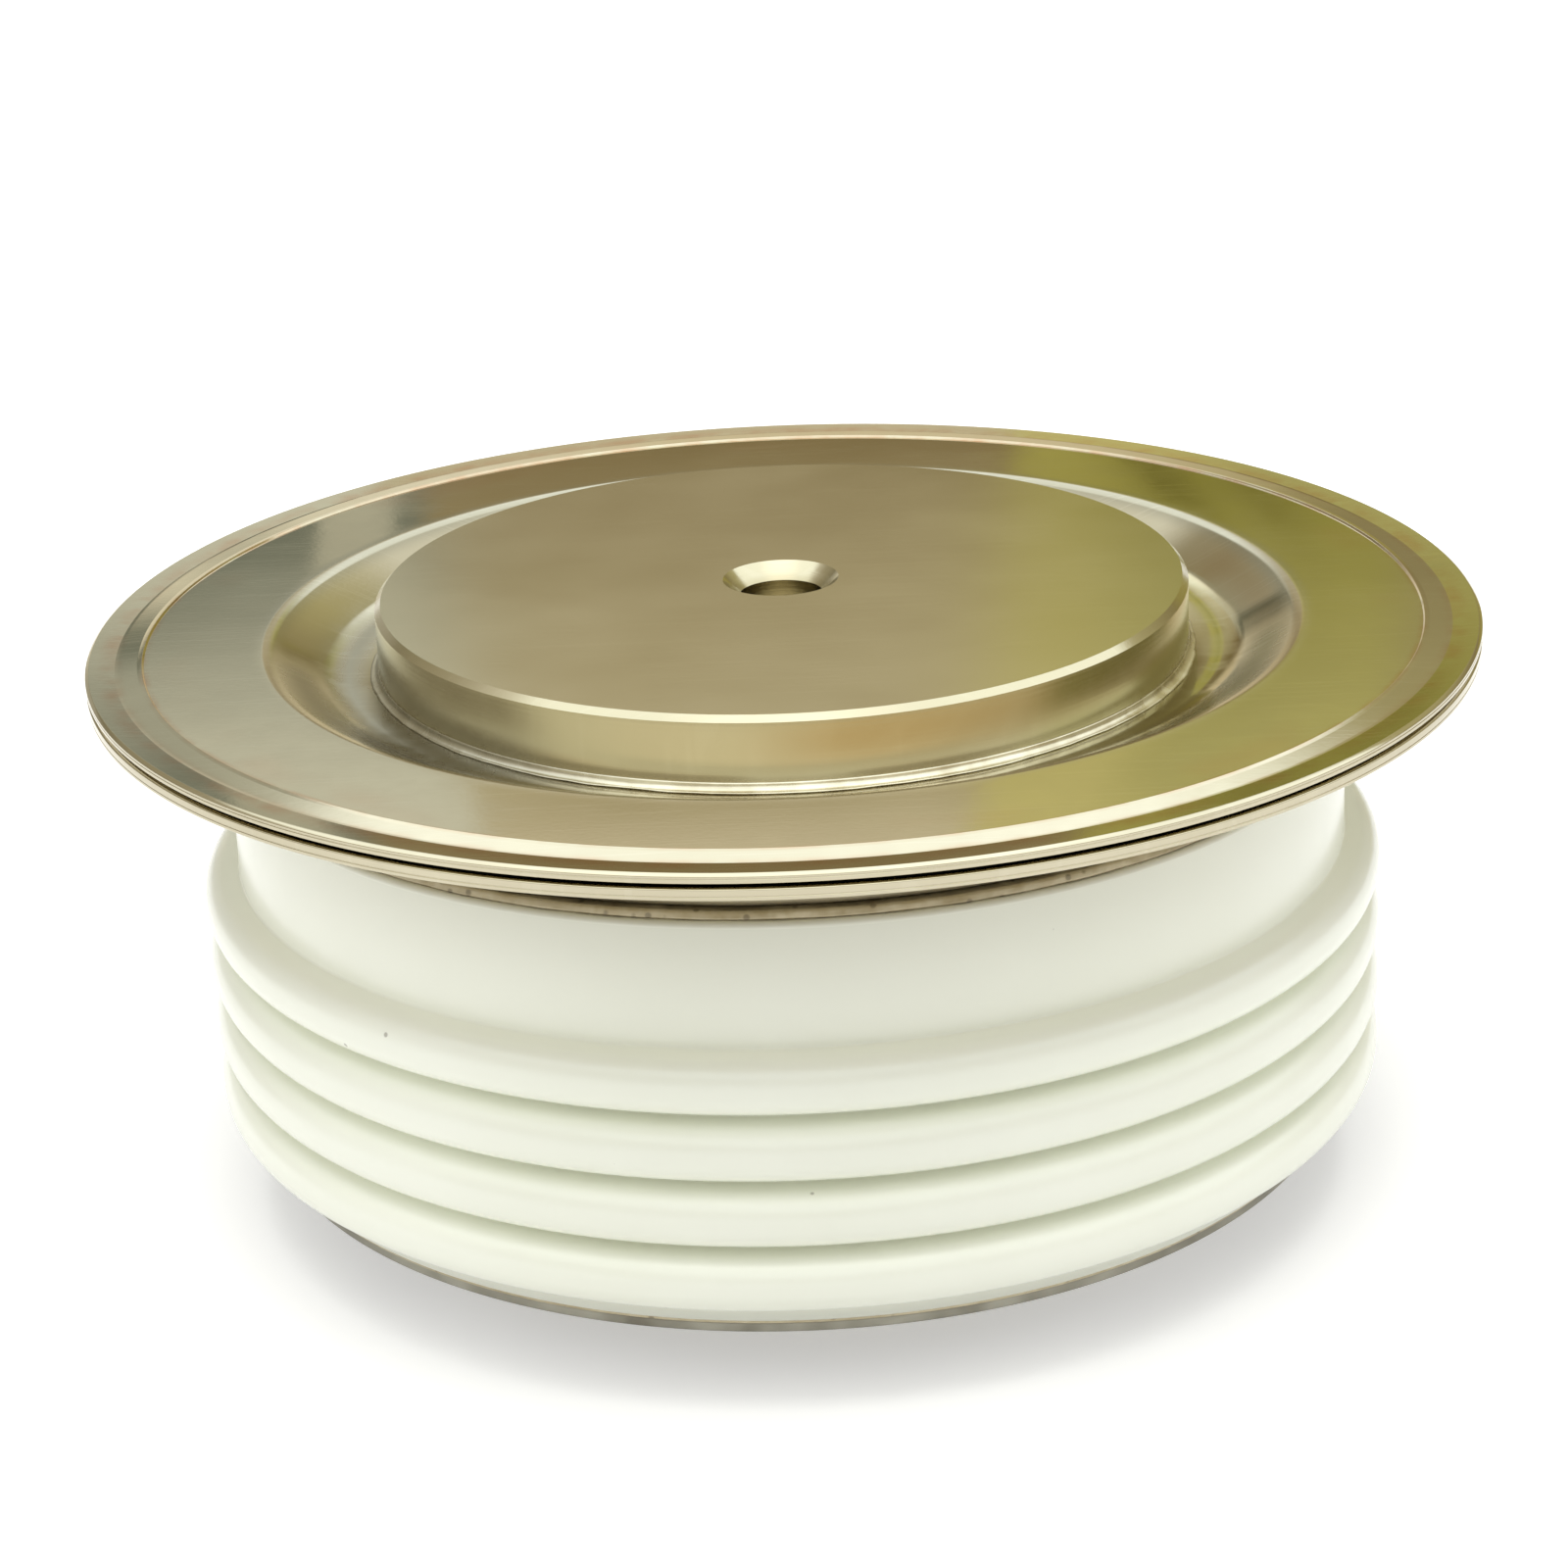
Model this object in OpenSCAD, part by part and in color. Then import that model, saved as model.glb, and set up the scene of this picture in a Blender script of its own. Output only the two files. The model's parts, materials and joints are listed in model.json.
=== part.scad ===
// Disc type (press pack) thyristor: two nickel plated copper poles, a ribbed ceramic
// housing with a stamped flange at each end, and the silicon stack and gate contact inside.
// Millimetres. The origin is the centre of the lower (anode) contact face, +Z points up
// to the cathode contact face, and the gate terminal leaves the housing along +Y.

/* [Contact faces] */
// Height from one contact face to the other
total_h = 26; // [25.5:0.5:30]
// Diameter of both contact faces, over their chamfers
contact_d = 34; // [28:0.5:36]
// Chamfer around each contact face
face_chamfer = 0.25; // [0.1:0.05:0.6]
// Diameter of the locating hole in each contact face
locating_d = 3.5; // [2.5:0.1:5]
// Depth of each locating hole, down to the start of its drill point
locating_depth = 2.2; // [1.5:0.1:3]
// Width of the countersink round each locating hole
countersink_w = 0.68; // [0.2:0.02:1]
// Included angle of the drill point
drill_angle = 118; // [90:1:140]

/* [Cathode flange] */
// Outer diameter of the two welded lips
flange_d = 58; // [56:0.5:64]
// Height of the cathode contact face above the top of the welded lips
face_rise = 1.6; // [1:0.1:3]
// Thickness of the stamped cathode sheet
diaphragm_t = 0.35; // [0.2:0.05:0.5]
// Radial width of the welded lip
lip_w = 1.3; // [1:0.05:2.5]
// Height of the pressed ridge inside the lip, above the lip
ridge_rise = 0.22; // [0.18:0.02:0.4]
// Radial width of that ridge
ridge_w = 1.4; // [1.2:0.1:2]
// Radial width of each of its two slopes
ridge_slope_w = 0.45; // [0.35:0.05:0.6]
// Height of the flat ring between the ridge and the trough, above the lip
ring_rise = 0.1; // [0:0.02:0.16]
// How far that ring falls from the ridge to the trough
ring_fall = 0.1; // [0:0.02:0.2]
// Depth of the trough round the pole, below the top of the lip
trough_depth = 1.4; // [0.8:0.1:2]
// Radial width of the trough floor
trough_floor_w = 2.4; // [1.6:0.1:3]
// Radial width of the trough's sloping wall
trough_wall_w = 2.1; // [1.5:0.1:3]
// Radius on the centre line of the bend at the trough's floor
trough_floor_bend_r = 0.7; // [0.5:0.05:0.9]
// Radius on the centre line of the bend at the trough's rim
trough_rim_bend_r = 1.1; // [0.6:0.1:1.4]
// Radius on the centre line of the bends of the ridge
ridge_bend_r = 0.4; // [0.3:0.05:0.5]

/* [Weld ring] */
// Thickness of the ring that joins the lip to the ceramic
weld_ring_t = 0.55; // [0.3:0.05:0.7]
// Distance from the top of the welded lips to the top of the ceramic
weld_ring_h = 4.1; // [3.2:0.05:5]
// Radial width of the ring's foot on the ceramic
weld_foot_w = 2.3; // [1.6:0.1:2.5]
// Radius on the centre line of the bend under the lip
weld_lip_bend_r = 1; // [0.6:0.05:1.3]
// Radius on the centre line of the bend over the foot
weld_foot_bend_r = 0.5; // [0.4:0.05:0.8]
// Height of the groove between the two lips, seen as a dark line
seam_h = 0.26; // [0.1:0.02:0.3]
// Depth of that groove
seam_depth = 0.3; // [0.1:0.05:0.6]

/* [Ceramic housing] */
// Distance from the edge of the contact face out to the plain neck
neck_out = 6.5; // [6:0.1:7]
// Wall thickness at the neck
neck_wall = 2.9; // [2.4:0.1:3.2]
// Height of the ceramic
ceramic_h = 16.6; // [15.5:0.05:17.5]
// Number of beads
bead_count = 4; // [2:1:4]
// Distance from one bead to the next
bead_pitch = 2.75; // [2.65:0.05:2.9]
// How far the beads stand out from the neck
bead_out = 1.5; // [1.2:0.05:1.8]
// Height of a bead at its root
bead_root_h = 2.42; // [2.2:0.02:2.5]
// How much each flank of a bead leans in towards its crest
bead_lean = 0.18; // [0.1:0.02:0.25]
// Radius of a bead's rounded crest
bead_crest_r = 0.95; // [0.6:0.05:1]
// Radius at the root of a bead
bead_root_r = 0.1; // [0.05:0.01:0.12]
// Height of the plain foot under the last bead
foot_h = 0.85; // [0.5:0.05:1.2]
// Radius of the ceramic's end corners
ceramic_edge_r = 0.2; // [0.1:0.05:0.3]

/* [Anode flange] */
// Thickness of the anode flange
anode_flange_t = 0.45; // [0.3:0.05:0.7]
// How far the anode flange lies inside the foot of the ceramic
anode_flange_inset = 0.3; // [0.1:0.1:1]
// Thickness of the braze under the ceramic
bottom_braze_t = 0.15; // [0.1:0.05:0.3]

/* [Brazing] */
// Thickness of the braze on top of the ceramic
top_braze_t = 0.35; // [0.2:0.05:0.6]
// Size of the braze fillets round the poles
pole_fillet = 0.5; // [0.3:0.05:0.6]
// Thickness left at the thin edges of those fillets
fillet_edge = 0.05; // [0.03:0.01:0.1]
// Clearance between a pole and the hole in its flange
pole_fit = 0.05; // [0.02:0.01:0.1]

/* [Silicon stack] */
// Height of the anode pole's inner face above its contact face
anode_pole_h = 9.4; // [8.5:0.1:10]
// Thickness of the silver foil on the anode pole
foil_t = 0.15; // [0.1:0.05:0.3]
// How far the silver foil reaches out past the contact face
foil_out = 0.5; // [0.2:0.1:1.2]
// Thickness of the molybdenum disc under the wafer
anode_disc_t = 2; // [1.5:0.1:2.4]
// How far the wafer and the molybdenum disc under it reach out past the contact face
wafer_out = 2; // [1.8:0.05:2.1]
// Thickness of the silicon wafer
wafer_t = 0.5; // [0.3:0.05:0.8]
// Width of the bevel ground on the wafer's edge
wafer_bevel_w = 0.5; // [0.2:0.05:0.6]
// Thickness of the molybdenum disc on the wafer
cathode_disc_t = 1.2; // [0.8:0.1:1.5]
// How far the molybdenum disc on the wafer reaches out past the contact face
cathode_disc_out = 0.4; // [0.1:0.05:0.6]
// Width of the silicone seal on top of the wafer
seal_overlap = 0.5; // [0.3:0.05:0.6]
// Height of the silicone seal above the wafer
seal_h = 0.45; // [0.3:0.05:0.6]
// How far the silicone seal stands out past the wafer
seal_out = 0.3; // [0.2:0.05:0.4]

/* [Inner ends of the poles] */
// How far the anode pole's shoulder stands out over its flange
anode_shoulder_w = 1.4; // [1:0.1:1.6]
// How far the cathode pole's shoulder stands out under its flange
cathode_shoulder_w = 1; // [0.6:0.1:1.4]
// Chamfer on the inner ends of both poles
inner_chamfer = 0.4; // [0.2:0.05:0.6]

/* [Centring ring] */
// Clearance round the stack and inside the ceramic
centring_fit = 0.08; // [0.05:0.01:0.1]
// How far the ring reaches down round the anode pole
centring_skirt_h = 1.1; // [0.8:0.1:2]
// How far the ring reaches up past the molybdenum disc
centring_top_h = 1.3; // [0.8:0.1:1.6]
// Clearance between the ring and the silicone seal
seal_clear = 0.15; // [0.1:0.05:0.2]

/* [Gate contact] */
// Diameter of the bore for the gate contact in the cathode pole
gate_bore_d = 6; // [5.4:0.1:6.6]
// Depth of that bore
gate_bore_depth = 6.75; // [6.4:0.05:7.5]
// Clearance between the insulating bush and what it fits in
bush_fit = 0.05; // [0.02:0.01:0.1]
// Wall of the insulating bush
bush_wall = 0.65; // [0.5:0.05:0.8]
// Diameter of the bush's nose in the hole of the molybdenum disc
bush_nose_d = 4.3; // [4:0.1:4.6]
// Height of the bush's floor above the molybdenum disc
bush_floor_t = 0.9; // [0.6:0.1:1]
// Thickness of the insulating washer over the spring
gate_washer_t = 0.8; // [0.5:0.1:1]
// Clearance under the bush's nose, over the wafer
nose_clear = 0.3; // [0.2:0.05:0.5]
// Diameter of the contact pin
pin_d = 1.4; // [1:0.1:1.8]
// Clearance round the contact pin
pin_fit = 0.05; // [0.02:0.01:0.1]
// Diameter of the contact pin's head
pin_head_d = 4.4; // [4.2:0.1:4.4]
// Thickness of the contact pin's head
pin_head_t = 0.8; // [0.75:0.05:1]
// Travel left under the contact pin's head
pin_travel = 0.4; // [0.3:0.05:0.6]
// Diameter of the spring wire
spring_wire_d = 0.5; // [0.3:0.05:0.6]
// Mean diameter of the spring
spring_d = 3.1; // [2.8:0.1:3.4]
// Number of turns, the two closed end turns counted
spring_turns = 6; // [5:1:6]
// Gap left between the wires of a closed end turn
closed_turn_gap = 0.03; // [0.01:0.01:0.05]

/* [Gate lead and terminal] */
// Diameter of the gate lead
lead_d = 0.7; // [0.5:0.05:0.75]
// Bend radius of the gate lead
lead_bend_r = 1.1; // [0.8:0.05:1.2]
// Clearance between the lead and its sleeve or tube
lead_fit = 0.05; // [0.03:0.01:0.1]
// Wall of the insulating sleeve
sleeve_wall = 0.3; // [0.2:0.05:0.35]
// Clearance between the sleeve and its slot
slot_clear = 0.1; // [0.05:0.05:0.3]
// Outer diameter of the gate tube
gate_tube_d = 2.2; // [1.8:0.1:2.4]
// Gap filled with braze round the gate tube
tube_braze_t = 0.15; // [0.1:0.05:0.2]
// How far the gate tube reaches into the housing past the wall
tube_inside = 0.3; // [0.1:0.1:0.5]
// Length of the round part of the tube outside the neck
tube_outside = 1.9; // [1.5:0.1:2.5]
// Length over which the tube is pressed flat
flattening_l = 1.2; // [0.8:0.1:1.5]
// Length of the tube's flattened end
blade_l = 3.2; // [2.5:0.1:3.5]
// Width of the flattened end
blade_w = 2.8; // [2.2:0.1:3]
// Thickness of the flattened end
blade_t = 0.8; // [0.5:0.1:1]
// Diameter of the hole in the flattened end
blade_hole_d = 1.2; // [0.8:0.1:1.4]

/* [Hidden] */
$fn = 120;
// Largest turn between two points of an arc, in degrees
ARC_STEP = 11;
// Sides of the swept round wires
WIRE_SIDES = 10;
// Points in each turn of the spring
TURN_POINTS = 28;
// How far a cutting tool runs past the surface that it cuts
CUT = 1;
// How far the pressed flats of the gate tube start outside its round part
FLAT_CLEAR = 0.06;

contact_r = contact_d / 2;
flange_r = flange_d / 2;
neck_r = contact_r + neck_out;
bead_r = neck_r + bead_out;
ceramic_bore_r = neck_r - neck_wall;

// Levels of the cathode flange, from the contact face down
lip_top_z = total_h - face_rise;
seam_z = lip_top_z - diaphragm_t;
lip_mid_z = lip_top_z - diaphragm_t / 2;
ring_mid_z = lip_mid_z + ring_rise;
ridge_mid_z = lip_mid_z + ridge_rise;
trough_top_z = lip_top_z - trough_depth;
trough_mid_z = trough_top_z - diaphragm_t / 2;
cathode_shoulder_z = trough_top_z - diaphragm_t;

// Levels of the ceramic and of what is brazed to it
ceramic_top_z = lip_top_z - weld_ring_h;
ceramic_bottom_z = ceramic_top_z - ceramic_h;
weld_foot_mid_z = ceramic_top_z + top_braze_t + weld_ring_t / 2;
weld_lip_mid_z = seam_z - weld_ring_t / 2;
first_bead_top_z = ceramic_bottom_z + foot_h + bead_root_h + (bead_count - 1) * bead_pitch;
gate_tube_z = (ceramic_top_z + first_bead_top_z) / 2;
anode_flange_top_z = ceramic_bottom_z - bottom_braze_t;
anode_flange_z = anode_flange_top_z - anode_flange_t;
anode_flange_r = neck_r - anode_flange_inset;

// Radii of the stamped cathode sheet
trough_floor_r = contact_r + trough_floor_w;
trough_rim_r = trough_floor_r + trough_wall_w;
ridge_outer_r = flange_r - lip_w;
ridge_inner_r = ridge_outer_r - ridge_w;
weld_skirt_r = neck_r - weld_ring_t;
weld_foot_inner_r = weld_skirt_r + weld_ring_t / 2 - weld_foot_w;

// Levels and radii of the stack
foil_top_z = anode_pole_h + foil_t;
anode_disc_top_z = foil_top_z + anode_disc_t;
wafer_top_z = anode_disc_top_z + wafer_t;
cathode_disc_top_z = wafer_top_z + cathode_disc_t;
wafer_r = contact_r + wafer_out;
wafer_top_r = wafer_r - wafer_bevel_w;
seal_r = wafer_r + seal_out;
anode_inner_r = contact_r + anode_shoulder_w;
cathode_inner_r = contact_r + cathode_shoulder_w;

// Levels and radii of the gate contact
gate_bore_r = gate_bore_d / 2;
gate_bore_end_z = cathode_disc_top_z + gate_bore_depth;
bush_r = gate_bore_r - bush_fit;
bush_bore_r = bush_r - bush_wall;
bush_nose_r = bush_nose_d / 2;
bush_floor_z = cathode_disc_top_z + bush_floor_t;
bush_top_z = gate_bore_end_z - gate_washer_t;
disc_hole_r = bush_nose_r + bush_fit;
pin_head_z = bush_floor_z + pin_travel;
pin_head_top_z = pin_head_z + pin_head_t;
pin_head_r = pin_head_d / 2;
spring_h = bush_top_z - pin_head_top_z;

// Route of the gate lead in the plane of Y and Z
lead_r = lead_d / 2;
lead_z = (pin_head_z + pin_head_top_z) / 2;
sleeve_bore_r = lead_r + lead_fit;
sleeve_r = sleeve_bore_r + sleeve_wall;
slot_w = 2 * (sleeve_r + slot_clear);
slot_top_z = lead_z + sleeve_r + slot_clear;
tube_mouth_y = ceramic_bore_r - tube_inside;
rise_y = tube_mouth_y - lead_bend_r;
blade_y = neck_r + tube_outside;
lead_route = [[pin_head_r, lead_z], [rise_y, lead_z], [rise_y, gate_tube_z],
    [blade_y - flattening_l, gate_tube_z]];
sleeve_route = [[gate_bore_r, lead_z], [cathode_inner_r, lead_z]];

function unit(v) = v / norm(v);
function left_of(v) = [-v.y, v.x];
function reversed(list) = [for (i = [len(list) - 1:-1:0]) list[i]];
function wrapped(angle) = (angle + 540) % 360 - 180;

// Arc of radius r that rounds corner b between its neighbours a and c
function corner_arc(a, b, c, r) =
    let (
        back = unit(a - b),
        ahead = unit(c - b),
        half = acos(back * ahead) / 2,
        centre = b + unit(back + ahead) * r / sin(half),
        first = b + back * r / tan(half) - centre,
        last = b + ahead * r / tan(half) - centre,
        start = atan2(first.y, first.x),
        turn = wrapped(atan2(last.y, last.x) - start),
        steps = ceil(abs(turn) / ARC_STEP)
    )
    [for (i = [0:steps]) centre + r * [cos(start + turn * i / steps), sin(start + turn * i / steps)]];

// Path through the points of p, with each inner corner rounded by its radius in radii
function rounded_path(p, radii) = concat(
    [p[0]],
    [for (i = [1:len(p) - 2]) each corner_arc(p[i - 1], p[i], p[i + 1], radii[i - 1])],
    [p[len(p) - 1]]);

function heading(p, i) = unit(p[min(i + 1, len(p) - 1)] - p[min(i, len(p) - 2)]);
function heading_before(p, i) = heading(p, max(i - 1, 0));

// Path p moved sideways by d, to the left where d is above zero
function offset_path(p, d) = [
    for (i = [0:len(p) - 1])
        let (n1 = left_of(heading_before(p, i)), n2 = left_of(heading(p, i)))
            p[i] + d * (n1 + n2) / (1 + n1 * n2)];

function turns_left(p, i) = left_of(heading_before(p, i)) * heading(p, i) > 0 ? 1 : -1;

function side_radii(p, radii, d) = [
    for (i = [0:len(radii) - 1]) radii[i] - d * turns_left(p, i + 1)];

function sheet_side(p, radii, d) = rounded_path(offset_path(p, d), side_radii(p, radii, d));

// Section of a sheet of thickness t, bent along the centre line p
function sheet_section(p, radii, t) = concat(
    sheet_side(p, radii, t / 2),
    reversed(sheet_side(p, radii, -t / 2)));

// Outline of the beads, from the neck down to the foot
bead_corners = [
    for (i = [0:bead_count - 1])
        let (top = first_bead_top_z - i * bead_pitch, bottom = top - bead_root_h)
            each [[neck_r, top], [bead_r, top - bead_lean],
                [bead_r, bottom + bead_lean], [neck_r, bottom]]];
bead_radii = [
    for (i = [0:bead_count - 1])
        each [bead_root_r, bead_crest_r, bead_crest_r, bead_root_r]];

// A solid swept along rings of points, closed at both ends
module swept(rings) {
    sides = len(rings[0]);
    last = len(rings) - 1;
    walls = [
        for (k = [0:last - 1], i = [0:sides - 1])
            let (a = k * sides + i, b = k * sides + (i + 1) % sides)
                [a, a + sides, b + sides, b]];
    first_cap = [for (i = [0:sides - 1]) i];
    last_cap = [for (i = [sides - 1:-1:0]) last * sides + i];
    polyhedron([for (ring = rings) each ring], concat([first_cap], walls, [last_cap]));
}

// Ring of points of radius r round a centre, spanned by two directions
function wire_ring(centre, across, up, r) = [
    for (i = [0:WIRE_SIDES - 1])
        let (angle = 360 * (i + 0.5) / WIRE_SIDES)
            centre + r * (cos(angle) * across + sin(angle) * up)];

// A round wire of radius r along a path in the plane of Y and Z
module wire(path, r) {
    swept([
        for (i = [0:len(path) - 1])
            let (n = unit(left_of(heading_before(path, i)) + left_of(heading(path, i))))
                wire_ring([0, path[i].x, path[i].y], [-1, 0, 0], [0, n.x, n.y], r)]);
}

// Section of a pole from its contact face at z = 0 inwards, with its locating hole
module pole_section(length, shoulder_z, inner_r) {
    hole_r = locating_d / 2;
    point_z = locating_depth + hole_r / tan(drill_angle / 2);
    polygon([
        [0, point_z], [hole_r, locating_depth], [hole_r, countersink_w],
        [hole_r + countersink_w, 0], [contact_r - face_chamfer, 0],
        [contact_r, face_chamfer], [contact_r, shoulder_z], [inner_r, shoulder_z],
        [inner_r, length - inner_chamfer], [inner_r - inner_chamfer, length], [0, length]]);
}

// Concave fillet of braze in the corner between a pole and its flange
module fillet_section(size) {
    polygon(concat([[0, 0], [size, 0]],
        corner_arc([size, fillet_edge], [fillet_edge, fillet_edge], [fillet_edge, size],
            size - fillet_edge),
        [[0, size]]));
}

module anode_pole() color("#c9c3b2")
    rotate_extrude()
        pole_section(anode_pole_h, anode_flange_top_z, anode_inner_r);

module cathode_pole() color("#c9c3b2")
    difference() {
        translate([0, 0, total_h]) mirror([0, 0, 1]) rotate_extrude()
            pole_section(total_h - cathode_disc_top_z, total_h - cathode_shoulder_z,
                cathode_inner_r);
        translate([0, 0, cathode_disc_top_z - CUT])
            cylinder(h = gate_bore_depth + CUT, r = gate_bore_r);
        translate([-slot_w / 2, 0, cathode_disc_top_z - CUT])
            cube([slot_w, cathode_inner_r + CUT, slot_top_z - cathode_disc_top_z + CUT]);
    }

module cathode_pole_braze() color("#e0d7b8")
    rotate_extrude()
        translate([contact_r, trough_top_z]) fillet_section(pole_fillet);

module anode_pole_braze() color("#e0d7b8")
    rotate_extrude()
        translate([contact_r, anode_flange_z]) mirror([0, 1]) fillet_section(pole_fillet);

// Groove that the rolled edges of the two lips leave between them
module seam_groove() {
    polygon([[flange_r - seam_depth, seam_z], [flange_r, seam_z + seam_h / 2],
        [flange_r + CUT, seam_z + seam_h / 2], [flange_r + CUT, seam_z - seam_h / 2],
        [flange_r, seam_z - seam_h / 2]]);
}

module cathode_diaphragm() color("#bdb894") {
    line = [[contact_r + pole_fit, trough_mid_z], [trough_floor_r, trough_mid_z],
        [trough_rim_r, ring_mid_z - ring_fall], [ridge_inner_r, ring_mid_z],
        [ridge_inner_r + ridge_slope_w, ridge_mid_z],
        [ridge_outer_r - ridge_slope_w, ridge_mid_z],
        [ridge_outer_r, lip_mid_z], [flange_r, lip_mid_z]];
    bends = concat([trough_floor_bend_r, trough_rim_bend_r], [for (i = [1:4]) ridge_bend_r]);
    rotate_extrude() difference() {
        polygon(sheet_section(line, bends, diaphragm_t));
        seam_groove();
    }
}

module ceramic_weld_ring() color("#b5ad8a") {
    line = [[weld_foot_inner_r, weld_foot_mid_z], [weld_skirt_r, weld_foot_mid_z],
        [weld_skirt_r, weld_lip_mid_z], [flange_r, weld_lip_mid_z]];
    rotate_extrude() difference() {
        polygon(sheet_section(line, [weld_foot_bend_r, weld_lip_bend_r], weld_ring_t));
        seam_groove();
    }
}

module ceramic_top_braze() color("#a89b6c")
    rotate_extrude()
        translate([weld_foot_inner_r, ceramic_top_z])
            square([neck_r - ceramic_edge_r - weld_foot_inner_r, top_braze_t]);

module ceramic_bottom_braze() color("#a89b6c")
    rotate_extrude()
        translate([ceramic_bore_r, anode_flange_top_z])
            square([neck_r - ceramic_edge_r - ceramic_bore_r, bottom_braze_t]);

module along_gate_tube(from_y) {
    translate([0, from_y, gate_tube_z]) rotate([-90, 0, 0]) children();
}

module gate_round(r, from_y, to_y) {
    along_gate_tube(from_y) cylinder(h = to_y - from_y, r = r);
}

module ceramic_housing() color("#f4f4ea")
    difference() {
        rotate_extrude() polygon(rounded_path(
            concat([[ceramic_bore_r, ceramic_top_z], [neck_r, ceramic_top_z]], bead_corners,
                [[neck_r, ceramic_bottom_z], [ceramic_bore_r, ceramic_bottom_z]]),
            concat([ceramic_edge_r], bead_radii, [ceramic_edge_r])));
        gate_round(gate_tube_d / 2 + tube_braze_t, ceramic_bore_r - CUT, neck_r + CUT);
    }

module anode_flange() color("#8f8a72")
    rotate_extrude()
        translate([contact_r + pole_fit, anode_flange_z])
            square([anode_flange_r - contact_r - pole_fit, anode_flange_t]);

module anode_silver_foil() color("#dcdcd8")
    translate([0, 0, anode_pole_h]) cylinder(h = foil_t, r = contact_r + foil_out);

module anode_molybdenum_disc() color("#8d9196")
    translate([0, 0, foil_top_z]) cylinder(h = anode_disc_t, r = wafer_r);

module silicon_wafer() color("#4a4f5a")
    translate([0, 0, anode_disc_top_z]) cylinder(h = wafer_t, r1 = wafer_r, r2 = wafer_top_r);

module wafer_edge_seal() color("#e8e2d6")
    rotate_extrude() polygon([[wafer_r, anode_disc_top_z], [wafer_top_r, wafer_top_z],
        [wafer_top_r - seal_overlap, wafer_top_z],
        [wafer_top_r, wafer_top_z + seal_h], [wafer_r, wafer_top_z + seal_h],
        [seal_r, wafer_top_z], [seal_r, anode_disc_top_z]]);

module cathode_molybdenum_disc() color("#8d9196")
    rotate_extrude()
        translate([disc_hole_r, wafer_top_z])
            square([contact_r + cathode_disc_out - disc_hole_r, cathode_disc_t]);

module centring_ring() color("#f7f7f2") {
    outer = ceramic_bore_r - centring_fit;
    top = anode_disc_top_z + centring_top_h;
    rotate_extrude() polygon([[anode_inner_r + centring_fit, anode_pole_h - centring_skirt_h],
        [outer, anode_pole_h - centring_skirt_h], [outer, top], [seal_r + seal_clear, top],
        [seal_r + seal_clear, anode_disc_top_z], [wafer_r + centring_fit, anode_disc_top_z],
        [wafer_r + centring_fit, foil_top_z], [anode_inner_r + centring_fit, foil_top_z]]);
}

module gate_bush() color("#efe9dc")
    difference() {
        rotate_extrude() polygon([[pin_d / 2 + pin_fit, wafer_top_z + nose_clear],
            [bush_nose_r, wafer_top_z + nose_clear], [bush_nose_r, cathode_disc_top_z],
            [bush_r, cathode_disc_top_z], [bush_r, bush_top_z], [bush_bore_r, bush_top_z],
            [bush_bore_r, bush_floor_z], [pin_d / 2 + pin_fit, bush_floor_z]]);
        translate([-sleeve_bore_r, 0, bush_floor_z])
            cube([2 * sleeve_bore_r, bush_r + CUT, bush_top_z - bush_floor_z + CUT]);
    }

module gate_contact_pin() color("#d8d5c8")
    rotate_extrude() polygon([[0, wafer_top_z], [pin_d / 2, wafer_top_z],
        [pin_d / 2, pin_head_z], [pin_head_r, pin_head_z],
        [pin_head_r, pin_head_top_z], [0, pin_head_top_z]]);

// Height of the spring's centre line over its seat, after a number of turns
function spring_level(turns) =
    let (
        closed_rise = spring_wire_d + closed_turn_gap,
        open_turns = spring_turns - 2,
        open_rise = (spring_h - spring_wire_d - 2 * closed_rise) / open_turns,
        closed = min(turns, 1) + max(turns - 1 - open_turns, 0),
        open = min(max(turns - 1, 0), open_turns)
    )
    spring_wire_d / 2 + closed * closed_rise + open * open_rise;

module gate_spring() color("#9a9da0")
    swept([
        for (k = [0:spring_turns * TURN_POINTS])
            let (
                turns = k / TURN_POINTS,
                out = [cos(360 * turns), sin(360 * turns), 0],
                level = pin_head_top_z + spring_level(turns)
            )
            wire_ring([0, 0, level] + out * spring_d / 2, out, [0, 0, -1], spring_wire_d / 2)]);

module gate_spring_washer() color("#efe9dc")
    translate([0, 0, bush_top_z]) cylinder(h = gate_washer_t, r = bush_r);

module gate_lead() color("#d6d2c4")
    wire(rounded_path(lead_route, [lead_bend_r, lead_bend_r]), lead_r);

module gate_lead_sleeve() color("#f3efe4")
    difference() {
        wire(sleeve_route, sleeve_r);
        wire([sleeve_route[0] - [CUT, 0], sleeve_route[1] + [CUT, 0]], sleeve_bore_r);
    }

// Wedge that bounds the pressed length on two sides, and ends at the given width
module pressed_sides(end_w) {
    start_w = gate_tube_d + 2 * FLAT_CLEAR;
    rotate([90, 0, 0]) linear_extrude(2 * gate_tube_d + blade_w, center = true)
        polygon([[-start_w / 2, 0], [start_w / 2, 0], [end_w / 2, flattening_l],
            [-end_w / 2, flattening_l]]);
}

module pressed_length() {
    corner_r = norm([blade_w, blade_t]) / 2 + FLAT_CLEAR;
    intersection() {
        cylinder(h = flattening_l, r1 = gate_tube_d / 2, r2 = corner_r);
        pressed_sides(blade_w);
        rotate([0, 0, 90]) pressed_sides(blade_t);
    }
}

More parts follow.
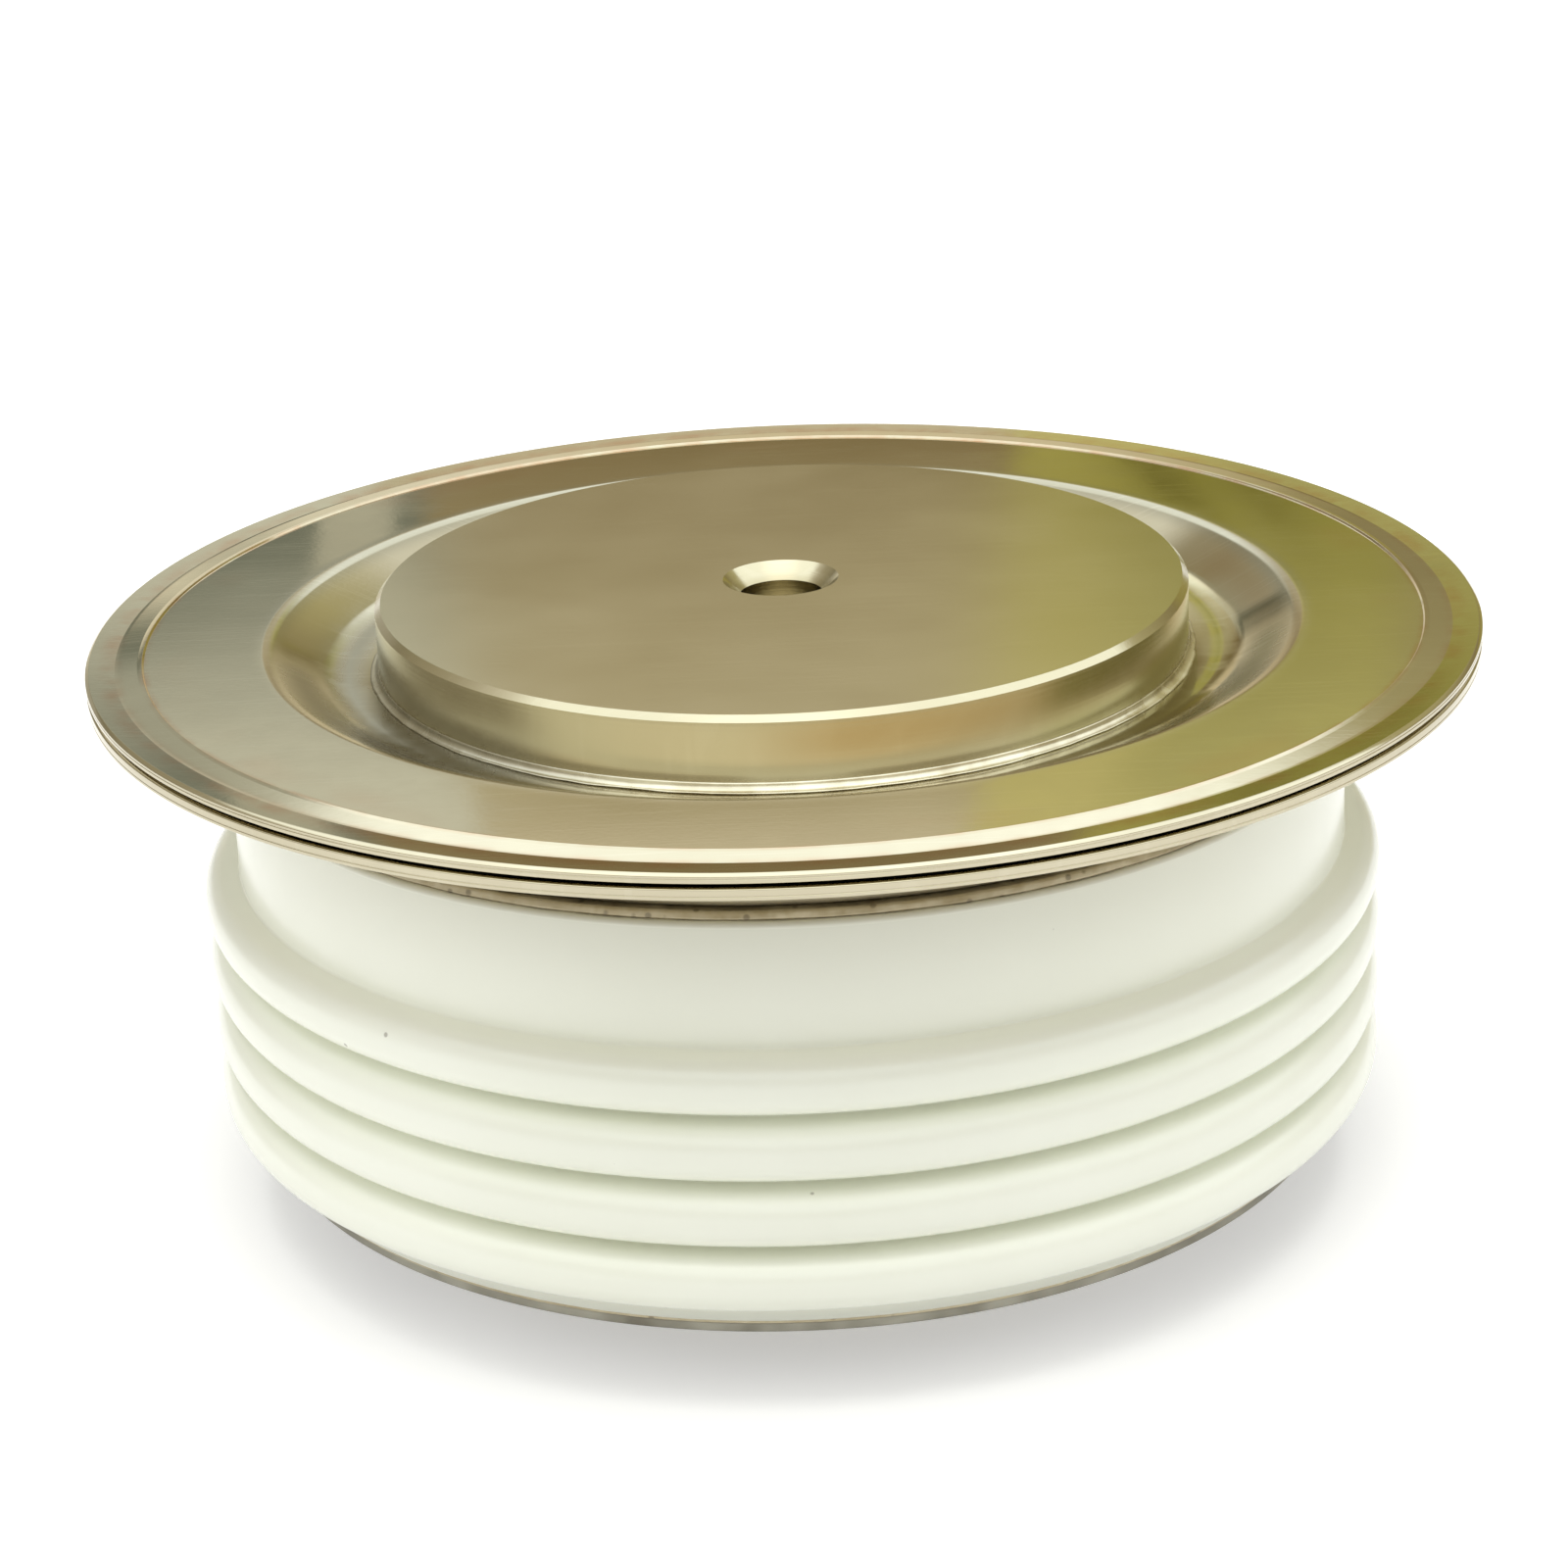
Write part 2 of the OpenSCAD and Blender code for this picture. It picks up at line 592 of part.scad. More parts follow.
module gate_tube() color("#cfcab8")
    difference() {
        union() {
            gate_round(gate_tube_d / 2, tube_mouth_y, blade_y - flattening_l);
            along_gate_tube(blade_y - flattening_l) pressed_length();
            translate([-blade_w / 2, blade_y, gate_tube_z - blade_t / 2])
                cube([blade_w, blade_l, blade_t]);
        }
        gate_round(sleeve_bore_r, tube_mouth_y - CUT, blade_y - flattening_l);
        translate([0, blade_y + blade_l / 2, gate_tube_z - blade_t / 2 - CUT])
            cylinder(h = blade_t + 2 * CUT, d = blade_hole_d);
    }

module gate_tube_braze() color("#a89b6c")
    difference() {
        gate_round(gate_tube_d / 2 + tube_braze_t, ceramic_bore_r, neck_r);
        gate_round(gate_tube_d / 2, ceramic_bore_r - CUT, neck_r + CUT);
    }

cathode_pole();
cathode_pole_braze();
cathode_diaphragm();
ceramic_weld_ring();
ceramic_top_braze();
ceramic_housing();
ceramic_bottom_braze();
anode_flange();
anode_pole_braze();
anode_pole();
anode_silver_foil();
anode_molybdenum_disc();
silicon_wafer();
wafer_edge_seal();
centring_ring();
cathode_molybdenum_disc();
gate_bush();
gate_contact_pin();
gate_spring();
gate_spring_washer();
gate_lead();
gate_lead_sleeve();
gate_tube();
gate_tube_braze();
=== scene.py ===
"""Looks of a disc type (press pack) thyristor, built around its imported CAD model.

Object and camera are in metres, in the CAD's frame: Z along the disc's axis, from the
anode contact face at zero up to the cathode contact face, and +Y towards the gate
terminal. Profiles are written in millimetres, as radius and height, and are turned
about the axis.
"""

import json
import math

import bmesh
import bpy
from mathutils import Matrix, Vector, noise


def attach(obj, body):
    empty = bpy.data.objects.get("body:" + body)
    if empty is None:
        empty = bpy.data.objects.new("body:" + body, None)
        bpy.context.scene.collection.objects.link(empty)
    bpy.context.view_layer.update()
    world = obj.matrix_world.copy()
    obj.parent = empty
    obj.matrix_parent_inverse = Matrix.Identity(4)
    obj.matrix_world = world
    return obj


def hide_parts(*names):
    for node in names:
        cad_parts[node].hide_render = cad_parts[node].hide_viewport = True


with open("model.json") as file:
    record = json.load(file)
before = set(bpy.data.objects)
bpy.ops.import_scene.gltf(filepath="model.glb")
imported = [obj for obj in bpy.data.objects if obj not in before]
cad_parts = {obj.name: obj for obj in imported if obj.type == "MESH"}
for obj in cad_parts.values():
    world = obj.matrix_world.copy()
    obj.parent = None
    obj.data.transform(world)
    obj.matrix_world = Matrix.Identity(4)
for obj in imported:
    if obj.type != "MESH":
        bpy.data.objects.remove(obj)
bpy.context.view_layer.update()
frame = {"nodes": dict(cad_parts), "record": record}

MM = 0.001
FULL_TURN = 2 * math.pi
TURN_STEPS = 256
CORNER_STEP = math.radians(14)
FLAT_FACES_WEIGHT = 60

# Sizes of the part, in millimetres, as its source has them
TOTAL_H = 26.0
CONTACT_R = 17.0
FACE_CHAMFER = 0.25
LOCATING_R = 1.75
FLANGE_R = 29.0
LIP_TOP = 24.4
DIAPHRAGM_T = 0.35
SEAM_Z = LIP_TOP - DIAPHRAGM_T
LIP_MID = LIP_TOP - DIAPHRAGM_T / 2
RING_MID = LIP_MID + 0.1
RIDGE_MID = LIP_MID + 0.22
RING_FALL = 0.1
TROUGH_TOP = LIP_TOP - 1.4
TROUGH_MID = TROUGH_TOP - DIAPHRAGM_T / 2
TROUGH_RIM_R = CONTACT_R + 4.5
RIDGE_OUTER_R = FLANGE_R - 1.3
RIDGE_INNER_R = RIDGE_OUTER_R - 1.4
RIDGE_SLOPE_W = 0.45
POLE_FIT = 0.05
WELD_RING_T = 0.55
WELD_LIP_MID = SEAM_Z - WELD_RING_T / 2
CERAMIC_TOP = LIP_TOP - 4.1
TOP_BRAZE_T = 0.35
WELD_FOOT_MID = CERAMIC_TOP + TOP_BRAZE_T + WELD_RING_T / 2
NECK_R = CONTACT_R + 6.5
WELD_SKIRT_R = NECK_R - WELD_RING_T
WELD_FOOT_INNER_R = WELD_SKIRT_R + WELD_RING_T / 2 - 2.3
CERAMIC_BOTTOM = CERAMIC_TOP - 16.6
CERAMIC_BORE_R = NECK_R - 2.9
CERAMIC_EDGE_R = 0.2
BEAD_R = NECK_R + 1.5
BEAD_COUNT = 4
BEAD_PITCH = 2.75
BEAD_ROOT_H = 2.42
BEAD_LEAN = 0.18
BEAD_CREST_R = 0.95
BEAD_ROOT_R = 0.1
FOOT_H = 0.85
FIRST_BEAD_TOP = CERAMIC_BOTTOM + FOOT_H + BEAD_ROOT_H + (BEAD_COUNT - 1) * BEAD_PITCH
BOTTOM_BRAZE_T = 0.15
ANODE_FLANGE_TOP = CERAMIC_BOTTOM - BOTTOM_BRAZE_T
ANODE_FLANGE_Z = ANODE_FLANGE_TOP - 0.45
ANODE_FLANGE_R = NECK_R - 0.3
GATE_TUBE_R = 1.1
GATE_TUBE_Z = (CERAMIC_TOP + FIRST_BEAD_TOP) / 2
TUBE_BRAZE_R = GATE_TUBE_R + 0.15
TROUGH_RIM_BEND = 1.1
RIDGE_BENDS = (0.4, 0.4, 0.4, 0.4)
WELD_BENDS = (0.5, 1.0)

# Sizes that differ from the source's, for finer edges and rounder bends, in millimetres
TROUGH_FLOOR_R = CONTACT_R + 1.9
TROUGH_FLOOR_BEND = 2.4
STEP_R = RIDGE_INNER_R + 0.3
RING_TOP = LIP_TOP + 0.08
RIDGE_TOP = LIP_TOP + 0.17
SEAM_H = 0.22
SEAM_DEPTH = 0.35
NOTCH_HALF_W = 0.03
NOTCH_DEPTH = 0.03
LIP_EDGE_BEND = 0.05
POLE_FILLET = 0.34
FILLET_EDGE = 0.03

# Places of the finishes on the sheets, in millimetres
WORN_R = CONTACT_R + 1.2
SLOPE_R = CONTACT_R + 3.3
CREASE_R = RIDGE_OUTER_R + 0.3
BRONZE_R = STEP_R - 0.9
SKIRT_INSIDE_R = 22.2
SKIRT_MATT_R = 22.5

# Camera, fitted to the photograph
PHOTO_SIDE = 1600
FOCAL_PIXELS = 3879.0
SENSOR = 36.0
CAMERA_DISTANCE = 160.0
CAMERA_ELEVATION = math.radians(18.43)
CAMERA_ROLL = math.radians(2.40)
AIM = Vector((-0.22, 0.0, LIP_TOP - 7.67)) * MM

# Stage: lengths in metres, lifts and light as strengths where 1 is white
FLOOR_R = 6.0
FLOOR_LIFT = 0.40
FAR_FLOOR_LIFT = 0.8
LAMPS_REACH = (0.45, 0.9)
ROOM_R = 3.0
ROOM_LIGHT = 0.34

# Name, place, power in watts, side and colour of each lamp
SOFTBOXES = (
    ("top_softbox", (0.0, -0.10, 1.15), 10.5, 0.8, (1.0, 1.0, 0.98)),
    ("front_softbox", (-0.10, -0.64, 0.76), 2.0, 0.6, (1.0, 1.0, 0.98)),
    ("left_softbox", (-1.0, -0.02, 0.24), 3.2, 0.7, (1.0, 1.0, 0.99)),
    ("right_softbox", (1.0, -0.02, 0.24), 3.2, 0.7, (1.0, 1.0, 0.99)),
)


def add_camera():
    """The photograph's camera: aimed past the disc's middle and rolled a little."""
    eye = Vector((0, -math.cos(CAMERA_ELEVATION), math.sin(CAMERA_ELEVATION)))
    eye = eye * CAMERA_DISTANCE * MM + Vector((0, 0, LIP_TOP * MM))
    forward = (AIM - eye).normalized()
    right = forward.cross(Vector((0, 0, 1))).normalized()
    up = right.cross(forward)
    c, s = math.cos(CAMERA_ROLL), math.sin(CAMERA_ROLL)
    camera_x = right * c - up * s
    camera_y = right * s + up * c
    data = bpy.data.cameras.new("view")
    data.sensor_width = SENSOR
    data.lens = FOCAL_PIXELS / PHOTO_SIDE * SENSOR
    data.clip_start, data.clip_end = 0.01, 20
    camera = bpy.data.objects.new("view", data)
    bpy.context.scene.collection.objects.link(camera)
    camera.matrix_world = Matrix((camera_x, camera_y, -forward)).transposed().to_4x4()
    camera.location = eye
    bpy.context.scene.camera = camera


# Node building

def add(tree, kind, inputs=None, **settings):
    """A node with its settings, and its inputs set or joined by name or number."""
    node = tree.nodes.new(kind)
    for key, value in settings.items():
        setattr(node, key, value)
    for key, value in (inputs or {}).items():
        if isinstance(value, bpy.types.NodeSocket):
            tree.links.new(value, node.inputs[key])
        else:
            node.inputs[key].default_value = value
    return node


def rgb(*channels):
    return (*channels, 1.0)


def maths(tree, operation, *values):
    """One sum on values or sockets."""
    node = add(tree, "ShaderNodeMath", dict(enumerate(values)), operation=operation)
    return node.outputs[0]


def times(tree, first, second):
    return maths(tree, "MULTIPLY", first, second)


def spread(tree, value, low, high, to_low=0.0, to_high=1.0):
    """A value eased from one range to another."""
    node = add(tree, "ShaderNodeMapRange", {
        "Value": value, "From Min": low, "From Max": high,
        "To Min": to_low, "To Max": to_high}, interpolation_type="SMOOTHSTEP")
    return node.outputs["Result"]


def blended(tree, share, first, second):
    """Two colours mixed by a share."""
    node = add(tree, "ShaderNodeMix", data_type="RGBA")
    for key, value in ((0, share), (6, first), (7, second)):
        if isinstance(value, bpy.types.NodeSocket):
            tree.links.new(value, node.inputs[key])
        else:
            node.inputs[key].default_value = value
    return node.outputs[2]


def cloud(tree, vector, scale, detail=3.0, roughness=0.55):
    """Soft cloudy noise from 0 to 1."""
    node = add(tree, "ShaderNodeTexNoise", {
        "Vector": vector, "Scale": scale, "Detail": detail, "Roughness": roughness})
    return node.outputs["Fac"]


def stretched(tree, vector, scale, turn=0.0):
    """Coordinates scaled along each axis, and turned about the disc's axis."""
    node = add(tree, "ShaderNodeMapping", {
        "Vector": vector, "Scale": scale, "Rotation": (0.0, 0.0, turn)})
    return node.outputs["Vector"]


def new_group(name, inputs, outputs):
    """An empty node group with float inputs, a vector input first, and float outputs."""
    tree = bpy.data.node_groups.new(name, "ShaderNodeTree")
    tree.interface.new_socket(name="Vector", in_out="INPUT", socket_type="NodeSocketVector")
    for label, value in inputs:
        socket = tree.interface.new_socket(
            name=label, in_out="INPUT", socket_type="NodeSocketFloat")
        socket.default_value = value
    for label in outputs:
        tree.interface.new_socket(name=label, in_out="OUTPUT", socket_type="NodeSocketFloat")
    return tree, tree.nodes.new("NodeGroupInput"), tree.nodes.new("NodeGroupOutput")


def radius_and_height(tree, vector):
    """Distance from the disc's axis, and height, in metres."""
    parts = add(tree, "ShaderNodeSeparateXYZ", {"Vector": vector})
    flat = add(tree, "ShaderNodeCombineXYZ", {"X": parts.outputs["X"], "Y": parts.outputs["Y"]})
    length = add(tree, "ShaderNodeVectorMath", {0: flat.outputs["Vector"]}, operation="LENGTH")
    return length.outputs["Value"], parts.outputs["Z"]


def make_turning_marks():
    """Fine rings that a lathe tool leaves, as a height. Height counts as well as radius,
    so that walls get rings too."""
    wall_share = 1.37
    tree, start, end = new_group("turning_marks", [("Pitch", 0.0001)], ["Height"])
    radius, height = radius_and_height(tree, start.outputs["Vector"])
    along = maths(tree, "MULTIPLY_ADD", height, wall_share, radius)
    rings = maths(tree, "DIVIDE", along, start.outputs["Pitch"])
    lines = add(tree, "ShaderNodeTexNoise", {"W": rings, "Scale": 1.0, "Detail": 1.0},
                noise_dimensions="1D")
    tree.links.new(lines.outputs["Fac"], end.inputs["Height"])
    return tree


def make_patches():
    """Soft cloudy patches, as a mask from 0 to 1."""
    full_contrast = 2.4
    tree, start, end = new_group("patches", [("Size", 0.01), ("Contrast", 1.0)], ["Mask"])
    scale = maths(tree, "DIVIDE", 1.0, start.outputs["Size"])
    patches = cloud(tree, start.outputs["Vector"], scale, 2.0, 0.6)
    centred = maths(tree, "SUBTRACT", patches, 0.5)
    gain = times(tree, start.outputs["Contrast"], full_contrast)
    mask = maths(tree, "MULTIPLY_ADD", centred, gain, 0.5)
    clamped = add(tree, "ShaderNodeClamp", {"Value": mask})
    tree.links.new(clamped.outputs["Result"], end.inputs["Mask"])
    return tree


def make_scratches():
    """Thin straight scratches in three directions, as a mask."""
    directions = (0.5, 1.7, 2.6)
    thinness = 34.0
    tree, start, end = new_group("scratches", [("Length", 0.004), ("Amount", 0.5)], ["Mask"])
    scale = maths(tree, "DIVIDE", 1.0, start.outputs["Length"])
    total = 0.0
    for turn in directions:
        drawn = stretched(tree, start.outputs["Vector"], (1.0, thinness, 1.0), turn)
        streak = cloud(tree, drawn, scale, 0.0)
        total = maths(tree, "MAXIMUM", total, spread(tree, streak, 0.70, 0.76))
    tree.links.new(times(tree, total, start.outputs["Amount"]), end.inputs["Mask"])
    return tree


def make_band(name, label, which):
    """A soft band round the axis, at a radius or at a height, as a mask."""
    tree, start, end = new_group(name, [(label, 0.02), ("Width", 0.001)], ["Mask"])
    place = radius_and_height(tree, start.outputs["Vector"])[which]
    away = maths(tree, "ABSOLUTE", maths(tree, "SUBTRACT", place, start.outputs[label]))
    share = maths(tree, "DIVIDE", away, start.outputs["Width"])
    tree.links.new(spread(tree, share, 1.0, 0.0), end.inputs["Mask"])
    return tree


def make_specks():
    """Rare small specks, as a mask."""
    tree, start, end = new_group("specks", [("Spacing", 0.005), ("Size", 0.05)], ["Mask"])
    scale = maths(tree, "DIVIDE", 1.0, start.outputs["Spacing"])
    cells = add(tree, "ShaderNodeTexVoronoi", {"Vector": start.outputs["Vector"], "Scale": scale})
    edge = times(tree, start.outputs["Size"], 0.6)
    dot = add(tree, "ShaderNodeMapRange", {
        "Value": cells.outputs["Distance"], "From Min": start.outputs["Size"],
        "From Max": edge, "To Min": 0.0, "To Max": 1.0})
    tree.links.new(dot.outputs["Result"], end.inputs["Mask"])
    return tree


GROUPS = {
    "turning_marks": make_turning_marks(),
    "patches": make_patches(),
    "scratches": make_scratches(),
    "ring_band": make_band("ring_band", "Radius", 0),
    "level_band": make_band("level_band", "Level", 1),
    "specks": make_specks(),
}


class Finish:
    """A material under construction: its tree, shader and Object coordinates."""

    def __init__(self, name, colour, roughness, metallic=0.0):
        self.material = bpy.data.materials.new(name)
        self.material.use_nodes = True
        self.tree = self.material.node_tree
        self.shader = self.tree.nodes["Principled BSDF"]
        self.shader.inputs["Base Color"].default_value = rgb(*colour)
        self.shader.inputs["Roughness"].default_value = roughness
        self.shader.inputs["Metallic"].default_value = metallic
        self.coords = add(self.tree, "ShaderNodeTexCoord").outputs["Object"]

    def effect(self, name, **values):
        """One of the shared effects, with this material's own values in metres."""
        inputs = {"Vector": self.coords, **values}
        return add(self.tree, "ShaderNodeGroup", inputs, node_tree=GROUPS[name]).outputs[0]

    def ring(self, radius, width):
        """A soft band round the axis, in millimetres."""
        return self.effect("ring_band", Radius=radius * MM, Width=width * MM)

    def level(self, height, width):
        """A soft band at a height, in millimetres."""
        return self.effect("level_band", Level=height * MM, Width=width * MM)

    def along(self, axis, low, high, to_low=0.0, to_high=1.0):
        """A value eased between two places on an axis, in millimetres."""
        place = add(self.tree, "ShaderNodeSeparateXYZ", {"Vector": self.coords})
        return spread(self.tree, place.outputs[axis], low * MM, high * MM, to_low, to_high)

    def grain(self, size, detail=2.0):
        """Fine noise of a size in metres."""
        return cloud(self.tree, self.coords, 1.0 / size, detail)

    def set(self, label, socket):
        self.tree.links.new(socket, self.shader.inputs[label])

    def bump(self, *heights):
        """One bump from heights added up, each with its depth in micrometres."""
        total = 0.0
        for height, depth in heights:
            total = maths(self.tree, "MULTIPLY_ADD", height, depth, total)
        node = add(self.tree, "ShaderNodeBump", {"Height": total, "Distance": MM / 1000})
        self.set("Normal", node.outputs["Normal"])


# Finishes

def nickel_pole():
    """Matt nickel plate over turned copper, with tool lines on its wall."""
    f = Finish("nickel_pole", (0.52, 0.475, 0.35), metallic=1.0, roughness=0.16)
    t = f.tree
    patches = f.effect("patches", Size=0.009, Contrast=0.8)
    marks = f.effect("turning_marks", Pitch=0.00016)
    scratches = f.effect("scratches", Length=0.006, Amount=0.1)
    radius, height = radius_and_height(t, f.coords)
    wall_top = TOTAL_H - FACE_CHAMFER
    wall = spread(t, height, wall_top * MM, (wall_top - 0.05) * MM)
    hole = spread(t, radius, (LOCATING_R + 0.3) * MM, LOCATING_R * MM)
    colour = blended(t, patches, rgb(0.48, 0.435, 0.305), rgb(0.53, 0.485, 0.345))
    colour = blended(t, scratches, colour, rgb(0.60, 0.56, 0.44))
    f.set("Base Color", blended(t, times(t, hole, 0.4), colour, rgb(0.30, 0.25, 0.13)))
    rough = maths(t, "MULTIPLY_ADD", patches, 0.04, 0.13)
    f.set("Roughness", maths(t, "MULTIPLY_ADD", wall, 0.05, rough))
    f.bump((f.grain(0.00014), 1.0), (times(t, marks, wall), 2.5), (scratches, 0.6))
    return f.material


def pole_braze():
    """Bright flowed braze under nickel plate, darker towards the left."""
    f = Finish("pole_braze", (0.66, 0.61, 0.47), metallic=1.0, roughness=0.25)
    t = f.tree
    patches = f.effect("patches", Size=0.0016, Contrast=1.2)
    colour = blended(t, patches, rgb(0.50, 0.45, 0.33), rgb(0.72, 0.68, 0.54))
    leftward = f.along("X", -4, -11, 0.0, 0.75)
    f.set("Base Color", blended(t, leftward, colour, rgb(0.34, 0.32, 0.26)))
    f.set("Roughness", maths(t, "MULTIPLY_ADD", patches, 0.12, 0.2))
    f.bump((f.grain(0.0009), 12.0), (f.grain(0.0002), 3.0))
    return f.material


def skirt_matt(f):
    """How much rougher the weld ring's skirt is than the sheets above it."""
    radius, height = radius_and_height(f.tree, f.coords)
    lip_foot = SEAM_Z - WELD_RING_T
    below_lip = spread(f.tree, height, lip_foot * MM, (lip_foot - 0.3) * MM, 0.0, 0.42)
    return times(f.tree, below_lip, spread(f.tree, radius, SKIRT_INSIDE_R * MM, SKIRT_MATT_R * MM))


def trough_marks(f):
    """Masks of the trough: its floor, whose colour shows wear and a painted reflection, its slope,
    whose colour is browning with a painted reflection at the right, and its bronzed slope. Floor and
    brown leave out the front, because the pole's wall mirrors it."""
    t = f.tree
    not_front = f.along("Y", -16.5, -13)
    floor_wear_and_reflection = times(t, times(t, f.ring(WORN_R, 2.2), f.along("Y", 14, 3)), not_front)
    slope_browning_and_reflection = times(t, maths(t, "SQRT", f.ring(SLOPE_R, 1.3)), f.along("Y", 0.5, -4.5))
    slope_browning_and_reflection = times(t, slope_browning_and_reflection, not_front)
    bronzed = times(t, maths(t, "SQRT", f.ring(SLOPE_R, 1.6)), f.along("X", -4, 4))
    bronzed = times(t, bronzed, f.along("Y", 9, 5))
    return floor_wear_and_reflection, slope_browning_and_reflection, bronzed


def nickel_sheet():
    """Bright nickel plate on a stamped sheet, hazy in places and tinted along its bends,
    with a trough that shows wear and browning and a matt skirt. The trough's floor and slope
    turn olive towards the right, a painted reflection of the olive wall that they mirror."""
    f = Finish("nickel_sheet", (0.52, 0.475, 0.36), metallic=1.0, roughness=0.08)
    t = f.tree
    patches = f.effect("patches", Size=0.011, Contrast=1.3)
    fine = f.effect("patches", Size=0.0016, Contrast=1.2)
    scratches = f.effect("scratches", Length=0.006, Amount=0.12)
    floor_wear_and_reflection, slope_browning_and_reflection, bronzed = trough_marks(f)
    trough_rim = f.ring(TROUGH_RIM_R, 0.9)
    rightward = f.along("X", -4, 4)

    colour = blended(t, patches, rgb(0.49, 0.445, 0.325), rgb(0.53, 0.485, 0.36))
    colour = blended(t, times(t, fine, 0.35), colour, rgb(0.47, 0.425, 0.31))
    bends = maths(t, "MAXIMUM", f.ring(CREASE_R, 0.7), f.ring(STEP_R, 0.3))
    tint = times(t, times(t, bends, fine), 0.7)
    colour = blended(t, tint, colour, rgb(0.46, 0.29, 0.17))
    bronze_ring = times(t, f.ring(BRONZE_R, 1.6), spread(t, patches, 0.55, 0.95, 0.0, 0.35))
    colour = blended(t, bronze_ring, colour, rgb(0.50, 0.36, 0.24))
    # Painted reflection: the worn floor's grey turns olive towards the right, standing in for the olive
    # wall that the floor mirrors.
    wear_and_painted_reflection_colour = blended(t, rightward, rgb(0.26, 0.255, 0.21), rgb(0.40, 0.375, 0.19))
    colour = blended(t, times(t, floor_wear_and_reflection, 0.8), colour, wear_and_painted_reflection_colour)
    colour = blended(t, bronzed, colour, rgb(0.40, 0.30, 0.16))
    # Painted reflection: the brown slope turns dark olive towards the right, standing in for the olive
    # wall that the slope mirrors.
    brown = blended(t, rightward, rgb(0.21, 0.18, 0.12), rgb(0.15, 0.13, 0.035))
    colour = blended(t, times(t, slope_browning_and_reflection, 0.9), colour, brown)
    dull = times(t, trough_rim, f.along("Y", -4, 4, 0.0, 0.7))
    colour = blended(t, dull, colour, rgb(0.30, 0.285, 0.22))
    f.set("Base Color", blended(t, scratches, colour, rgb(0.61, 0.57, 0.46)))

    rough = maths(t, "MULTIPLY_ADD", patches, 0.03, 0.05)
    rough = maths(t, "MULTIPLY_ADD", fine, 0.02, rough)
    haze = times(t, floor_wear_and_reflection, spread(t, fine, 0.3, 0.8, 0.0, 0.06))
    rough = maths(t, "ADD", rough, maths(t, "ADD", haze, skirt_matt(f)))
    left_matt = times(t, floor_wear_and_reflection, f.along("X", 4, -4, 0.15, 1.0))
    rough = maths(t, "MULTIPLY_ADD", maths(t, "MAXIMUM", slope_browning_and_reflection, left_matt), 0.22, rough)
    rough = maths(t, "MULTIPLY_ADD", trough_rim, 0.10, rough)
    f.set("Roughness", maths(t, "MULTIPLY_ADD", scratches, 0.10, rough))
    f.bump((f.grain(0.006, 0.0), 5.0), (f.grain(0.00022), 0.5), (scratches, 0.8))
    return f.material


def dark_nickel_sheet():
    """Dull dark nickel plate."""
    f = Finish("dark_nickel_sheet", (0.22, 0.21, 0.17), metallic=1.0, roughness=0.4)
    t = f.tree
    patches = f.effect("patches", Size=0.003, Contrast=1.2)
    f.set("Base Color", blended(t, patches, rgb(0.15, 0.14, 0.11), rgb(0.32, 0.31, 0.26)))
    f.set("Roughness", maths(t, "MULTIPLY_ADD", patches, 0.15, 0.34))
    f.bump((f.grain(0.0002), 4.0), (f.effect("turning_marks", Pitch=0.0003), 3.0))
    return f.material


def ceramic_braze():
    """Mottled light brown braze, with small dark specks."""
    f = Finish("ceramic_braze", (0.48, 0.42, 0.29), metallic=0.7, roughness=0.45)
    t = f.tree
    patches = f.effect("patches", Size=0.0008, Contrast=1.2)
    stains = f.effect("patches", Size=0.005, Contrast=1.2)
    specks = f.effect("specks", Spacing=0.0007, Size=0.22)
    colour = blended(t, patches, rgb(0.40, 0.34, 0.22), rgb(0.56, 0.50, 0.36))
    colour = blended(t, times(t, stains, 0.35), colour, rgb(0.26, 0.21, 0.13))
    f.set("Base Color", blended(t, times(t, specks, 0.6), colour, rgb(0.12, 0.10, 0.07)))
    f.set("Roughness", maths(t, "MULTIPLY_ADD", patches, 0.15, 0.38))
    f.bump((f.grain(0.0004), 14.0))
    return f.material


def glazed_alumina():
    """White glaze with a soft sheen, a painted shade under the flange, a few specks, and grey
    ends where it is bare."""
    f = Finish("glazed_alumina", (0.93, 0.945, 0.83), roughness=0.22)
    t = f.tree
    patches = f.effect("patches", Size=0.012, Contrast=1.0)
    specks = f.effect("specks", Spacing=0.0042, Size=0.028)
    top = f.level(CERAMIC_TOP, 0.3)
    shade = f.level(CERAMIC_TOP + 0.5, 5.0)
    foot = f.level(CERAMIC_BOTTOM, 1.0)
    colour = blended(t, patches, rgb(0.915, 0.93, 0.81), rgb(0.945, 0.96, 0.85))
    # Painted shade: the glaze is darkened near the flange, where the flange's overhang shades the neck.
    colour = blended(t, times(t, shade, 0.6), colour, rgb(0.73, 0.735, 0.63))
    colour = blended(t, times(t, top, 0.3), colour, rgb(0.62, 0.58, 0.48))
    colour = blended(t, times(t, foot, 0.55), colour, rgb(0.56, 0.56, 0.50))
    f.set("Base Color", blended(t, times(t, specks, 0.6), colour, rgb(0.25, 0.22, 0.18)))
    rough = maths(t, "MULTIPLY_ADD", patches, 0.06, 0.20)
    f.set("Roughness", maths(t, "MULTIPLY_ADD", maths(t, "MAXIMUM", top, foot), 0.3, rough))
    f.bump((f.grain(0.0030, 1.0), 8.0))
    return f.material


